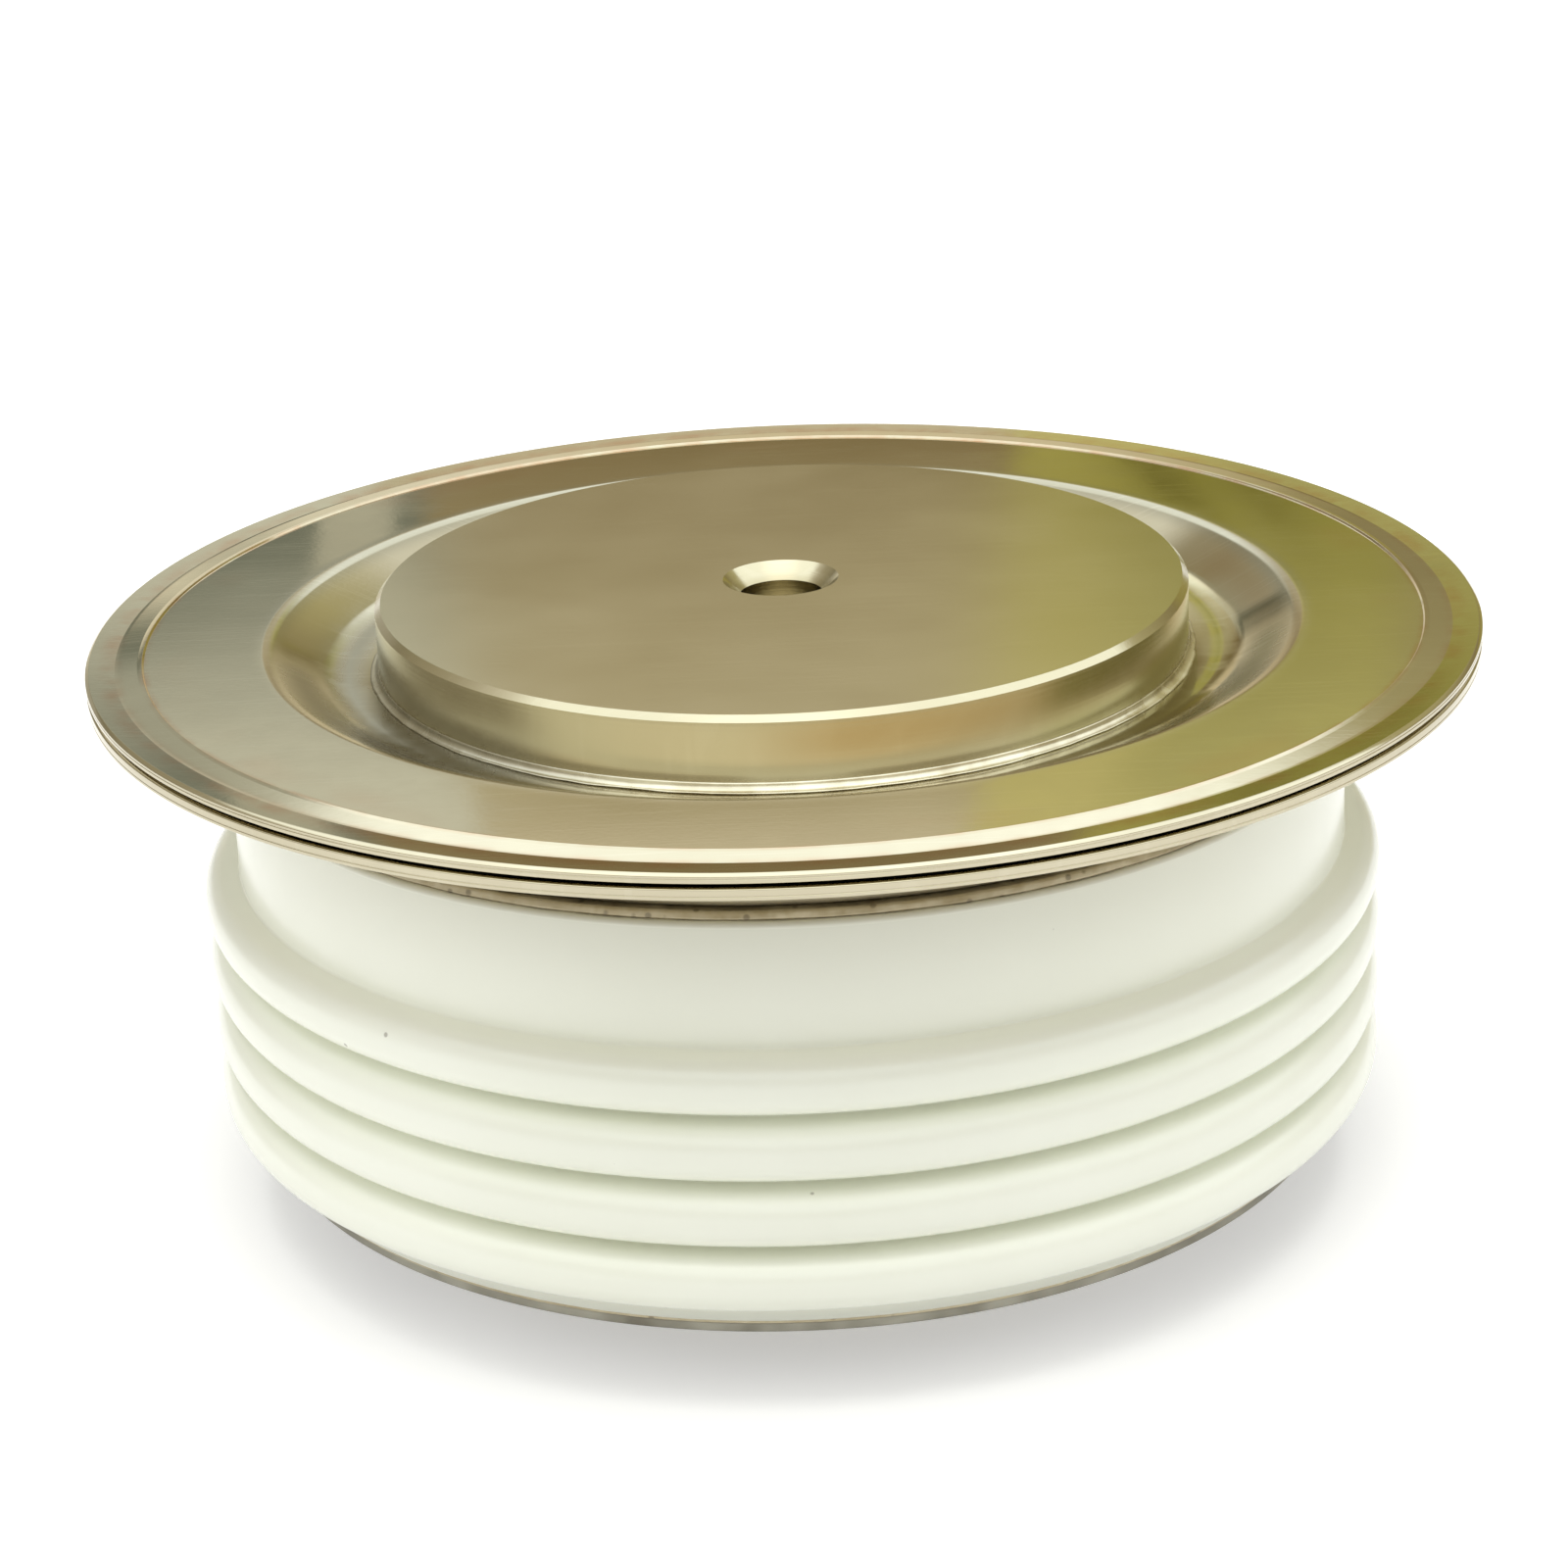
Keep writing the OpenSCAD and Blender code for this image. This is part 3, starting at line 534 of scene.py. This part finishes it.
def plain_metal(name, dark, light, roughness, pitch=None):
    """A metal with soft patches and either turned rings or fine grain."""
    f = Finish(name, light, metallic=1.0, roughness=roughness)
    t = f.tree
    patches = f.effect("patches", Size=0.003, Contrast=1.0)
    f.set("Base Color", blended(t, patches, rgb(*dark), rgb(*light)))
    f.set("Roughness", maths(t, "MULTIPLY_ADD", patches, 0.1, roughness - 0.05))
    f.bump((f.effect("turning_marks", Pitch=pitch) if pitch else f.grain(0.0001), 3.0))
    return f.material


def plain_insulator(name, dark, light, roughness):
    """A pale plastic or rubber with faint mottling and grain."""
    f = Finish(name, light, roughness=roughness)
    t = f.tree
    patches = f.effect("patches", Size=0.002, Contrast=0.8)
    f.set("Base Color", blended(t, patches, rgb(*dark), rgb(*light)))
    f.set("Roughness", maths(t, "MULTIPLY_ADD", patches, 0.12, roughness - 0.06))
    f.bump((f.grain(0.00015), 2.5))
    return f.material


FINISHES = {
    "nickel_pole": nickel_pole(),
    "pole_braze": pole_braze(),
    "nickel_sheet": nickel_sheet(),
    "dark_nickel_sheet": dark_nickel_sheet(),
    "ceramic_braze": ceramic_braze(),
    "glazed_alumina": glazed_alumina(),
    "silver": plain_metal("silver", (0.70, 0.70, 0.66), (0.84, 0.84, 0.81), 0.3),
    "molybdenum": plain_metal("molybdenum", (0.36, 0.37, 0.39), (0.47, 0.48, 0.50), 0.35, 0.0002),
    "silicon": plain_metal("silicon", (0.10, 0.11, 0.14), (0.18, 0.19, 0.24), 0.25),
    "silicone": plain_insulator("silicone", (0.82, 0.79, 0.71), (0.90, 0.87, 0.80), 0.4),
    "white_insulator": plain_insulator(
        "white_insulator", (0.86, 0.85, 0.80), (0.94, 0.93, 0.89), 0.5),
    "spring_steel": plain_metal("spring_steel", (0.38, 0.39, 0.40), (0.50, 0.51, 0.52), 0.3),
}
SLOT_OF = {row["node"]: row["material_slot"] for row in frame["record"]["subparts"]}

for name, node in frame["nodes"].items():
    node.data.materials.clear()
    node.data.materials.append(FINISHES[SLOT_OF[name]])


# Turned pieces

def corner_cut(before, corner, after, radius):
    """How far from a corner its rounding of that radius starts, and the corner's turn."""
    turn = (corner - before).angle(after - corner)
    return radius * math.tan(turn / 2), turn


def outline_mesh(outline):
    """A closed outline in the plane of X and Z, its corners rounded by vertex bevels."""
    bm = bmesh.new()
    points = [Vector((r, 0.0, z)) * MM for r, z, _ in outline]
    verts = [bm.verts.new(p) for p in points]
    count = len(verts)
    for i in range(count):
        bm.edges.new((verts[i], verts[(i + 1) % count]))
    for i, (_, _, radius) in enumerate(outline):
        if radius > 0:
            cut, turn = corner_cut(points[i - 1], points[i], points[(i + 1) % count], radius * MM)
            bmesh.ops.bevel(bm, geom=[verts[i]], offset=cut, offset_type="OFFSET",
                            segments=max(2, math.ceil(turn / CORNER_STEP)), profile=0.5,
                            affect="VERTICES", material=-1)
    return bm


def spin_about_axis(bm):
    """The outline spun into a closed skin, its points on the axis or the seam merged."""
    bmesh.ops.spin(bm, geom=bm.verts[:] + bm.edges[:], cent=(0, 0, 0), axis=(0, 0, 1),
                   dvec=(0, 0, 0), angle=FULL_TURN, steps=TURN_STEPS, use_merge=True)
    bmesh.ops.remove_doubles(bm, verts=bm.verts, dist=0.002 * MM)
    bmesh.ops.recalc_face_normals(bm, faces=bm.faces)


def finished(name, bm, nodes, slot):
    """A mesh made a piece that stands for CAD nodes, in their finish."""
    mesh = bpy.data.meshes.new(name)
    bm.to_mesh(mesh)
    bm.free()
    mesh.shade_smooth()
    mesh.materials.append(FINISHES[slot])
    piece = bpy.data.objects.new(name, mesh)
    bpy.context.scene.collection.objects.link(piece)
    weighted = piece.modifiers.new("even_shading", "WEIGHTED_NORMAL")
    weighted.weight = FLAT_FACES_WEIGHT
    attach(piece, "root")
    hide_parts(*nodes)
    return piece


def turned(name, outline, slot, *nodes, change=None):
    """A piece from an outline of radius, height and rounding, turned about the axis."""
    bm = outline_mesh(outline)
    spin_about_axis(bm)
    if change:
        change(bm)
    return finished(name, bm, nodes, slot)


def bent_sheet(line, bends, thickness):
    """Upper and lower corners of a sheet bent along a centre line, from the axis outwards."""
    sides = []
    for distance in (thickness / 2, -thickness / 2):
        side = []
        for i, point in enumerate(line):
            before = (point - line[i - 1]).normalized() if i else None
            after = (line[i + 1] - point).normalized() if i + 1 < len(line) else before
            before = before or after
            left = [Vector((-d.y, d.x)) for d in (before, after)]
            spot = point + (left[0] + left[1]) * distance / (1 + left[0].dot(left[1]))
            bend = 0.0
            if 0 < i < len(line) - 1:
                sign = 1 if left[0].dot(after) > 0 else -1
                bend = bends[i - 1] - distance * sign
            side.append((spot.x, spot.y, bend))
        sides.append(side)
    return sides


def notched_rim(top, bottom, notch):
    """Corners of a lip's rim from its top down, with one fine notch in its face."""
    return [(FLANGE_R, top, LIP_EDGE_BEND), (FLANGE_R, notch + NOTCH_HALF_W, 0.02),
            (FLANGE_R - NOTCH_DEPTH, notch, 0.0), (FLANGE_R, notch - NOTCH_HALF_W, 0.02),
            (FLANGE_R, bottom, LIP_EDGE_BEND)]


def cathode_flange():
    """The stamped sheet: trough, flat ring, low ridge with a crisp inner step, and a lip
    that is hollow on top. Its underside follows the bent sheet."""
    line = [Vector(p) for p in (
        (CONTACT_R + POLE_FIT, TROUGH_MID), (TROUGH_FLOOR_R, TROUGH_MID),
        (TROUGH_RIM_R, RING_MID - RING_FALL), (RIDGE_INNER_R, RING_MID),
        (RIDGE_INNER_R + RIDGE_SLOPE_W, RIDGE_MID), (RIDGE_OUTER_R - RIDGE_SLOPE_W, RIDGE_MID),
        (RIDGE_OUTER_R, LIP_MID), (FLANGE_R, LIP_MID))]
    bends = (TROUGH_FLOOR_BEND, TROUGH_RIM_BEND, *RIDGE_BENDS)
    upper, lower = bent_sheet(line, bends, DIAPHRAGM_T)
    top = [
        (TROUGH_RIM_R, RING_TOP, 1.2), (STEP_R, RING_TOP, 0.03),
        (STEP_R + 0.06, RIDGE_TOP, 0.04), (STEP_R + 0.26, LIP_TOP + 0.13, 0.3),
        (RIDGE_OUTER_R - 0.06, LIP_TOP + 0.07, 0.15), (RIDGE_OUTER_R + 0.08, LIP_TOP + 0.062, 0.15),
        (FLANGE_R - 0.14, LIP_TOP + 0.125, 0.06)]
    rim = notched_rim(LIP_TOP + 0.03, SEAM_Z + SEAM_H / 2, LIP_TOP - 0.07)
    seam = [(FLANGE_R - SEAM_DEPTH, SEAM_Z, 0.0)]
    turned("cathode_flange_sheet", upper[:2] + top + rim + seam + lower[-2::-1], "nickel_sheet",
           "cathode_diaphragm")


def weld_ring():
    """The ring that carries the lower lip down to the ceramic."""
    line = [Vector(p) for p in (
        (WELD_FOOT_INNER_R, WELD_FOOT_MID), (WELD_SKIRT_R, WELD_FOOT_MID),
        (WELD_SKIRT_R, WELD_LIP_MID), (FLANGE_R, WELD_LIP_MID))]
    upper, lower = bent_sheet(line, WELD_BENDS, WELD_RING_T)
    lip_foot = SEAM_Z - WELD_RING_T
    seam = [(FLANGE_R - SEAM_DEPTH, SEAM_Z, 0.0)]
    rim = notched_rim(SEAM_Z - SEAM_H / 2, lip_foot, lip_foot + 0.16)
    turned("weld_ring_sheet", upper[:-1] + seam + rim + lower[-2::-1], "nickel_sheet",
           "ceramic_weld_ring")


def wavered(amount, size, seed):
    """A change that moves a piece's points out and up by smooth noise."""
    rise_share = 0.6

    def change(bm):
        for v in bm.verts:
            angle = math.atan2(v.co.y, v.co.x)
            spot = Vector((v.co.x, v.co.y, v.co.z * 2)) / (size * MM) + Vector((seed, 0, 0))
            push = noise.noise(spot) * amount * MM
            v.co += Vector((math.cos(angle) * push, math.sin(angle) * push, push * rise_share))
    return change


def flowed(amount, size, seed):
    """A change that lets a fillet's outer skin swell and thin along the joint, and stays
    clear of the skin that lies on the pole."""
    skin = 0.02

    def change(bm):
        for v in bm.verts:
            out = Vector((v.co.x, v.co.y, 0.0))
            share = min(max((out.length - (CONTACT_R + skin) * MM) / (POLE_FILLET * MM), 0.0), 1.0)
            swell = noise.noise(v.co / (size * MM) + Vector((seed, 0, 0)))
            swell += 0.5 * noise.noise(v.co / (size * MM / 4) + Vector((0, seed, 0)))
            v.co += out.normalized() * swell * share * amount * MM
    return change


def pole_brazes():
    """Concave fillets at the feet of both poles, a little uneven. Each is rounded a hair
    less than to its neighbouring corners, so that no two points fall together."""
    hollow = (POLE_FILLET - FILLET_EDGE) * 0.999
    for name, foot, sign in (("cathode_pole_braze", TROUGH_TOP, 1),
                             ("anode_pole_braze", ANODE_FLANGE_Z, -1)):
        corners = [
            (CONTACT_R, foot, 0.0), (CONTACT_R + POLE_FILLET, foot, 0.0),
            (CONTACT_R + POLE_FILLET, foot + sign * FILLET_EDGE, 0.0),
            (CONTACT_R + FILLET_EDGE, foot + sign * FILLET_EDGE, hollow),
            (CONTACT_R + FILLET_EDGE, foot + sign * POLE_FILLET, 0.0),
            (CONTACT_R, foot + sign * POLE_FILLET, 0.0)]
        turned(name + "_flow", corners, "pole_braze", name, change=flowed(0.13, 4.0, 5))


def ceramic_brazes():
    """Brazes on and under the ceramic, their outer edges a little uneven."""
    outer = NECK_R - CERAMIC_EDGE_R
    top = [
        (WELD_FOOT_INNER_R, CERAMIC_TOP, 0.0), (outer, CERAMIC_TOP, 0.1),
        (outer - 0.12, CERAMIC_TOP + TOP_BRAZE_T, 0.15),
        (WELD_FOOT_INNER_R, CERAMIC_TOP + TOP_BRAZE_T, 0.0)]
    turned("ceramic_top_braze_flow", top, "ceramic_braze", "ceramic_top_braze",
           change=wavered(0.09, 1.1, 3))
    bottom = [
        (CERAMIC_BORE_R, ANODE_FLANGE_TOP, 0.0), (outer, ANODE_FLANGE_TOP, 0.05),
        (outer, CERAMIC_BOTTOM, 0.05), (CERAMIC_BORE_R, CERAMIC_BOTTOM, 0.0)]
    turned("ceramic_bottom_braze_flow", bottom, "ceramic_braze", "ceramic_bottom_braze",
           change=wavered(0.03, 1.3, 9))


def anode_flange():
    """The thin dark ring under the ceramic."""
    outline = [
        (CONTACT_R + POLE_FIT, ANODE_FLANGE_Z, 0.0), (ANODE_FLANGE_R, ANODE_FLANGE_Z, 0.12),
        (ANODE_FLANGE_R, ANODE_FLANGE_TOP, 0.08), (CONTACT_R + POLE_FIT, ANODE_FLANGE_TOP, 0.0)]
    turned("anode_flange_ring", outline, "dark_nickel_sheet", "anode_flange")


def cut_gate_hole(piece):
    """The gate tube's hole through the ceramic's neck, cut by a round bar that stands out
    by 2 mm at both ends."""
    bm = bmesh.new()
    overhang = 2
    length = NECK_R - CERAMIC_BORE_R + 2 * overhang
    place = Matrix.Translation(Vector((0, (NECK_R + CERAMIC_BORE_R) / 2, GATE_TUBE_Z)) * MM)
    bmesh.ops.create_cone(bm, cap_ends=True, segments=48, radius1=TUBE_BRAZE_R * MM,
                          radius2=TUBE_BRAZE_R * MM, depth=length * MM,
                          matrix=place @ Matrix.Rotation(math.pi / 2, 4, "X"))
    mesh = bpy.data.meshes.new("gate_hole_bar")
    bm.to_mesh(mesh)
    bm.free()
    bar = bpy.data.objects.new("gate_hole_bar", mesh)
    bpy.context.scene.collection.objects.link(bar)
    cut = piece.modifiers.new("gate_hole", "BOOLEAN")
    cut.operation, cut.object, cut.solver = "DIFFERENCE", bar, "EXACT"
    piece.modifiers.move(len(piece.modifiers) - 1, 0)
    graph = bpy.context.evaluated_depsgraph_get()
    weighted = piece.modifiers["even_shading"]
    weighted.show_viewport = weighted.show_render = False
    graph.update()
    solid = bpy.data.meshes.new_from_object(piece.evaluated_get(graph))
    piece.modifiers.remove(cut)
    bpy.data.objects.remove(bar)
    whole = piece.data
    piece.data = solid
    bpy.data.meshes.remove(whole)
    weighted.show_viewport = weighted.show_render = True


def ceramic_housing():
    """Plain neck, four rounded beads and a plain foot."""
    outline = [(CERAMIC_BORE_R, CERAMIC_TOP, 0.1), (NECK_R, CERAMIC_TOP, CERAMIC_EDGE_R)]
    for i in range(BEAD_COUNT):
        top = FIRST_BEAD_TOP - i * BEAD_PITCH
        bottom = top - BEAD_ROOT_H
        outline += [(NECK_R, top, BEAD_ROOT_R), (BEAD_R, top - BEAD_LEAN, BEAD_CREST_R),
                    (BEAD_R, bottom + BEAD_LEAN, BEAD_CREST_R), (NECK_R, bottom, BEAD_ROOT_R)]
    outline += [(NECK_R, CERAMIC_BOTTOM, CERAMIC_EDGE_R), (CERAMIC_BORE_R, CERAMIC_BOTTOM, 0.1)]
    cut_gate_hole(turned("ceramic_beaded_ring", outline, "glazed_alumina", "ceramic_housing"))


cathode_flange()
weld_ring()
pole_brazes()
ceramic_brazes()
anode_flange()
ceramic_housing()


# Stage, lights and camera

def bright_seen(tree):
    """One for camera, glossy and transmission rays, nought for the rest."""
    path = add(tree, "ShaderNodeLightPath")
    seen = maths(tree, "MAXIMUM", path.outputs["Is Camera Ray"], path.outputs["Is Glossy Ray"])
    return maths(tree, "MAXIMUM", seen, path.outputs["Is Transmission Ray"])


def staged(name, bm, material):
    """A mesh that belongs to the stage and not to the object."""
    mesh = bpy.data.meshes.new(name)
    bm.to_mesh(mesh)
    bm.free()
    mesh.materials.append(material)
    piece = bpy.data.objects.new(name, mesh)
    bpy.context.scene.collection.objects.link(piece)
    return piece


def add_floor():
    """A pale floor that is seen as white and keeps the object's shadow. It is lifted more
    far from the object, where the lamps don't reach."""
    bm = bmesh.new()
    bmesh.ops.create_circle(bm, cap_ends=True, segments=96, radius=FLOOR_R)
    material = bpy.data.materials.new("floor_white")
    material.use_nodes = True
    t = material.node_tree
    shader = t.nodes["Principled BSDF"]
    shader.inputs["Base Color"].default_value = rgb(0.78, 0.78, 0.77)
    shader.inputs["Roughness"].default_value = 0.9
    shader.inputs["Specular IOR Level"].default_value = 0.1
    shader.inputs["Emission Color"].default_value = rgb(1, 1, 1)
    place = add(t, "ShaderNodeTexCoord").outputs["Object"]
    away = add(t, "ShaderNodeVectorMath", {0: place}, operation="LENGTH").outputs["Value"]
    lift = spread(t, away, *LAMPS_REACH, FLOOR_LIFT, FAR_FLOOR_LIFT)
    t.links.new(times(t, bright_seen(t), lift), shader.inputs["Emission Strength"])
    staged("floor", bm, material)


def add_world():
    """A plain light from everywhere, seen as white."""
    world = bpy.data.worlds.new("studio")
    bpy.context.scene.world = world
    world.use_nodes = True
    t = world.node_tree
    t.nodes.clear()
    level = spread(t, bright_seen(t), 0.0, 1.0, ROOM_LIGHT, 1.0)
    background = add(t, "ShaderNodeBackground", {"Color": rgb(1, 1, 1), "Strength": level})
    output = add(t, "ShaderNodeOutputWorld")
    t.links.new(background.outputs["Background"], output.inputs["Surface"])


class Room:
    """The room that the metal mirrors, as colours over directions. Side runs from -1 at the
    left to 1 at the right, behind from -1 in front to 1 at the back, and up is 1 overhead.
    Slid is side, shifted a little by soft clouds."""

    def __init__(self, tree, place):
        self.tree = tree
        self.place = place
        parts = add(tree, "ShaderNodeSeparateXYZ", {"Vector": place}).outputs
        flat, _ = radius_and_height(tree, place)
        whole = add(tree, "ShaderNodeVectorMath", {0: place}, operation="LENGTH")
        self.side = maths(tree, "DIVIDE", parts["X"], flat)
        self.behind = maths(tree, "DIVIDE", parts["Y"], flat)
        self.up = maths(tree, "DIVIDE", parts["Z"], whole.outputs["Value"])
        wander = maths(tree, "SUBTRACT", cloud(tree, place, 2.6, 2.0), 0.5)
        self.slid = maths(tree, "MULTIPLY_ADD", wander, 0.016, self.side)

    def mix(self, share, first, second):
        return blended(self.tree, share, first, second)

    def both(self, *shares):
        """Shares multiplied."""
        total = shares[0]
        for share in shares[1:]:
            total = times(self.tree, total, share)
        return total

    def sideways(self, *limits):
        return spread(self.tree, self.side, *limits)

    def upwards(self, *limits):
        return spread(self.tree, self.up, *limits)

    def backwards(self, *limits):
        return spread(self.tree, self.behind, *limits)

    def leaning(self, slope):
        """The sideways place, leant over with height."""
        pivot = 0.283
        above = maths(self.tree, "SUBTRACT", self.up, pivot)
        return maths(self.tree, "MULTIPLY_ADD", above, slope, self.slid)

    def bar(self, value, centre, outer, inner):
        """A band round a centre, eased from its outer to its inner half width."""
        away = maths(self.tree, "ABSOLUTE", maths(self.tree, "SUBTRACT", value, centre))
        return spread(self.tree, away, outer, inner)

    def tan_wall(self):
        """The middle of the back wall."""
        tan = self.mix(self.upwards(0.265, 0.345), rgb(0.29, 0.215, 0.095), rgb(0.64, 0.565, 0.355))
        return self.mix(self.upwards(0.362, 0.385), tan, rgb(0.95, 0.87, 0.66))

    def grey_wall(self):
        """The left of the back wall, with a pale upright window."""
        grey = self.mix(self.upwards(0.288, 0.366), rgb(0.22, 0.24, 0.19), rgb(0.93, 0.94, 0.82))
        window = self.both(self.bar(self.slid, -0.1217, 0.0135, 0.0105), self.upwards(0.322, 0.308))
        grey = self.mix(window, grey, rgb(0.66, 0.65, 0.52))
        dull = self.both(self.sideways(-0.17, -0.24), self.upwards(0.30, 0.35))
        return self.mix(dull, grey, rgb(0.58, 0.59, 0.50))

    def olive_wall(self):
        """The right of the back wall, with two dark posts and a dark patch above them."""
        outward = spread(self.tree, self.slid, 0.077, 0.117)
        low = self.mix(outward, rgb(0.52, 0.48, 0.13), rgb(0.39, 0.365, 0.08))
        high = self.mix(outward, rgb(0.83, 0.77, 0.33), rgb(0.68, 0.65, 0.26))
        olive = self.mix(self.upwards(0.290, 0.365), low, high)
        leant = self.leaning(-0.7)
        posts = maths(self.tree, "MAXIMUM", self.bar(leant, 0.1017, 0.009, 0.005),
                      self.bar(leant, 0.1297, 0.010, 0.005))
        leaves = cloud(self.tree, stretched(self.tree, self.place, (9.0, 9.0, 3.5)), 1.0, 2.0)
        broken = spread(self.tree, leaves, 0.35, 0.60, 0.7, 1.0)
        posts = self.both(posts, broken, self.upwards(0.322, 0.297))
        olive = self.mix(posts, olive, rgb(0.23, 0.205, 0.045))
        patch = self.both(self.bar(self.leaning(2.15), 0.273, 0.013, 0.005),
                          self.bar(self.up, 0.350, 0.016, 0.010))
        return self.mix(patch, olive, rgb(0.50, 0.47, 0.19))

    def back_wall(self):
        """Grey, tan and olive side by side, dusky low down except at the left."""
        left_edge = spread(self.tree, self.leaning(-0.12), -0.105, -0.099)
        right_edge = spread(self.tree, self.leaning(0.157), 0.065, 0.071)
        wall = self.mix(left_edge, self.grey_wall(), self.tan_wall())
        wall = self.mix(right_edge, wall, self.olive_wall())
        dusk = self.both(self.upwards(0.262, 0.250), self.sideways(-0.16, -0.10))
        return self.mix(dusk, wall, rgb(0.27, 0.21, 0.105))

    def side_walls(self, wall):
        """Brownish walls beyond the back wall's two ends."""
        left = self.mix(self.upwards(0.20, 0.50), rgb(0.30, 0.27, 0.18), rgb(0.50, 0.45, 0.32))
        right = self.mix(self.upwards(0.20, 0.50), rgb(0.36, 0.30, 0.15), rgb(0.66, 0.61, 0.33))
        wall = self.mix(self.sideways(-0.31, -0.36), wall, left)
        return self.mix(self.sideways(0.165, 0.20), wall, right)

    def horizon(self, wall):
        """A bright strip at the back, just over the floor, lower at the left."""
        strip = self.mix(self.sideways(-0.02, -0.13), rgb(0.86, 0.75, 0.50), rgb(1.05, 0.99, 0.78))
        strip = self.mix(self.sideways(-0.30, -0.50), strip, rgb(0.55, 0.52, 0.42))
        strip = self.mix(self.sideways(0.08, 0.24), strip, rgb(0.46, 0.40, 0.13))
        low = self.mix(self.sideways(-0.16, -0.22), self.upwards(0.235, 0.18), self.upwards(0.29, 0.24))
        return self.mix(self.both(low, self.backwards(0.6, 0.85)), wall, strip)

    def front(self, wall):
        """A cloudy pale wall in front, bright at its top."""
        near = self.mix(cloud(self.tree, self.place, 1.2, 2.0),
                        rgb(0.50, 0.47, 0.36), rgb(1.05, 1.02, 0.86))
        near = self.mix(self.upwards(0.45, 0.70), near, rgb(2.2, 2.2, 2.12))
        return self.mix(self.backwards(0.90, -0.90), wall, near)

    def ceiling(self, wall):
        """A bright ceiling, whose edge lies higher or lower from side to side."""
        edge = self.sideways(-0.15, -0.38, 0.45, 0.64)
        for limits in ((0.22, 0.48, 0.0, 0.20), (-0.80, -0.93, 0.0, 0.08), (0.70, 0.95, 0.0, -0.2)):
            edge = maths(self.tree, "ADD", edge, self.sideways(*limits))
        above = spread(self.tree, maths(self.tree, "SUBTRACT", self.up, edge), -0.045, 0.045)
        outer = spread(self.tree, maths(self.tree, "ABSOLUTE", self.side), 0.25, 0.45)
        dimmer = self.both(outer, self.backwards(0.5, 0.8), self.upwards(0.92, 0.80))
        lit = self.mix(dimmer, rgb(1.85, 1.95, 1.95), rgb(1.2, 1.22, 1.15))
        lit = self.mix(self.upwards(0.88, 0.96), lit, rgb(2.35, 2.40, 2.38))
        return self.mix(above, wall, lit)

    def colour(self):
        wall = self.side_walls(self.back_wall())
        return self.ceiling(self.front(self.horizon(wall)))


def add_surround():
    """A dome that stands for the room, and that only glossy rays meet."""
    bm = bmesh.new()
    bmesh.ops.create_icosphere(bm, subdivisions=5, radius=ROOM_R)
    bmesh.ops.bisect_plane(bm, geom=bm.verts[:] + bm.edges[:] + bm.faces[:],
                           plane_co=(0, 0, 0), plane_no=(0, 0, 1), clear_inner=True)
    material = bpy.data.materials.new("room")
    material.use_nodes = True
    t = material.node_tree
    t.nodes.clear()
    place = add(t, "ShaderNodeTexCoord").outputs["Object"]
    light = add(t, "ShaderNodeEmission", {"Color": Room(t, place).colour(), "Strength": 1.0})
    output = add(t, "ShaderNodeOutputMaterial")
    t.links.new(light.outputs["Emission"], output.inputs["Surface"])
    material.cycles.emission_sampling = "NONE"
    dome = staged("room_dome", bm, material)
    dome.visible_camera = dome.visible_diffuse = dome.visible_shadow = False
    dome.visible_transmission = dome.visible_volume_scatter = False


def add_softbox(name, place, power, size, colour):
    """A soft square lamp that faces the object and that the metal doesn't mirror."""
    data = bpy.data.lights.new(name, "AREA")
    data.shape = "SQUARE"
    data.size = size
    data.energy = power
    data.color = colour
    light = bpy.data.objects.new(name, data)
    light.location = place
    light.rotation_mode = "QUATERNION"
    light.rotation_quaternion = (-Vector(place)).to_track_quat("-Z", "Y")
    light.visible_glossy = False
    bpy.context.scene.collection.objects.link(light)


add_floor()
add_world()
add_surround()
for softbox in SOFTBOXES:
    add_softbox(*softbox)
add_camera()
bpy.context.scene.view_settings.view_transform = "Standard"
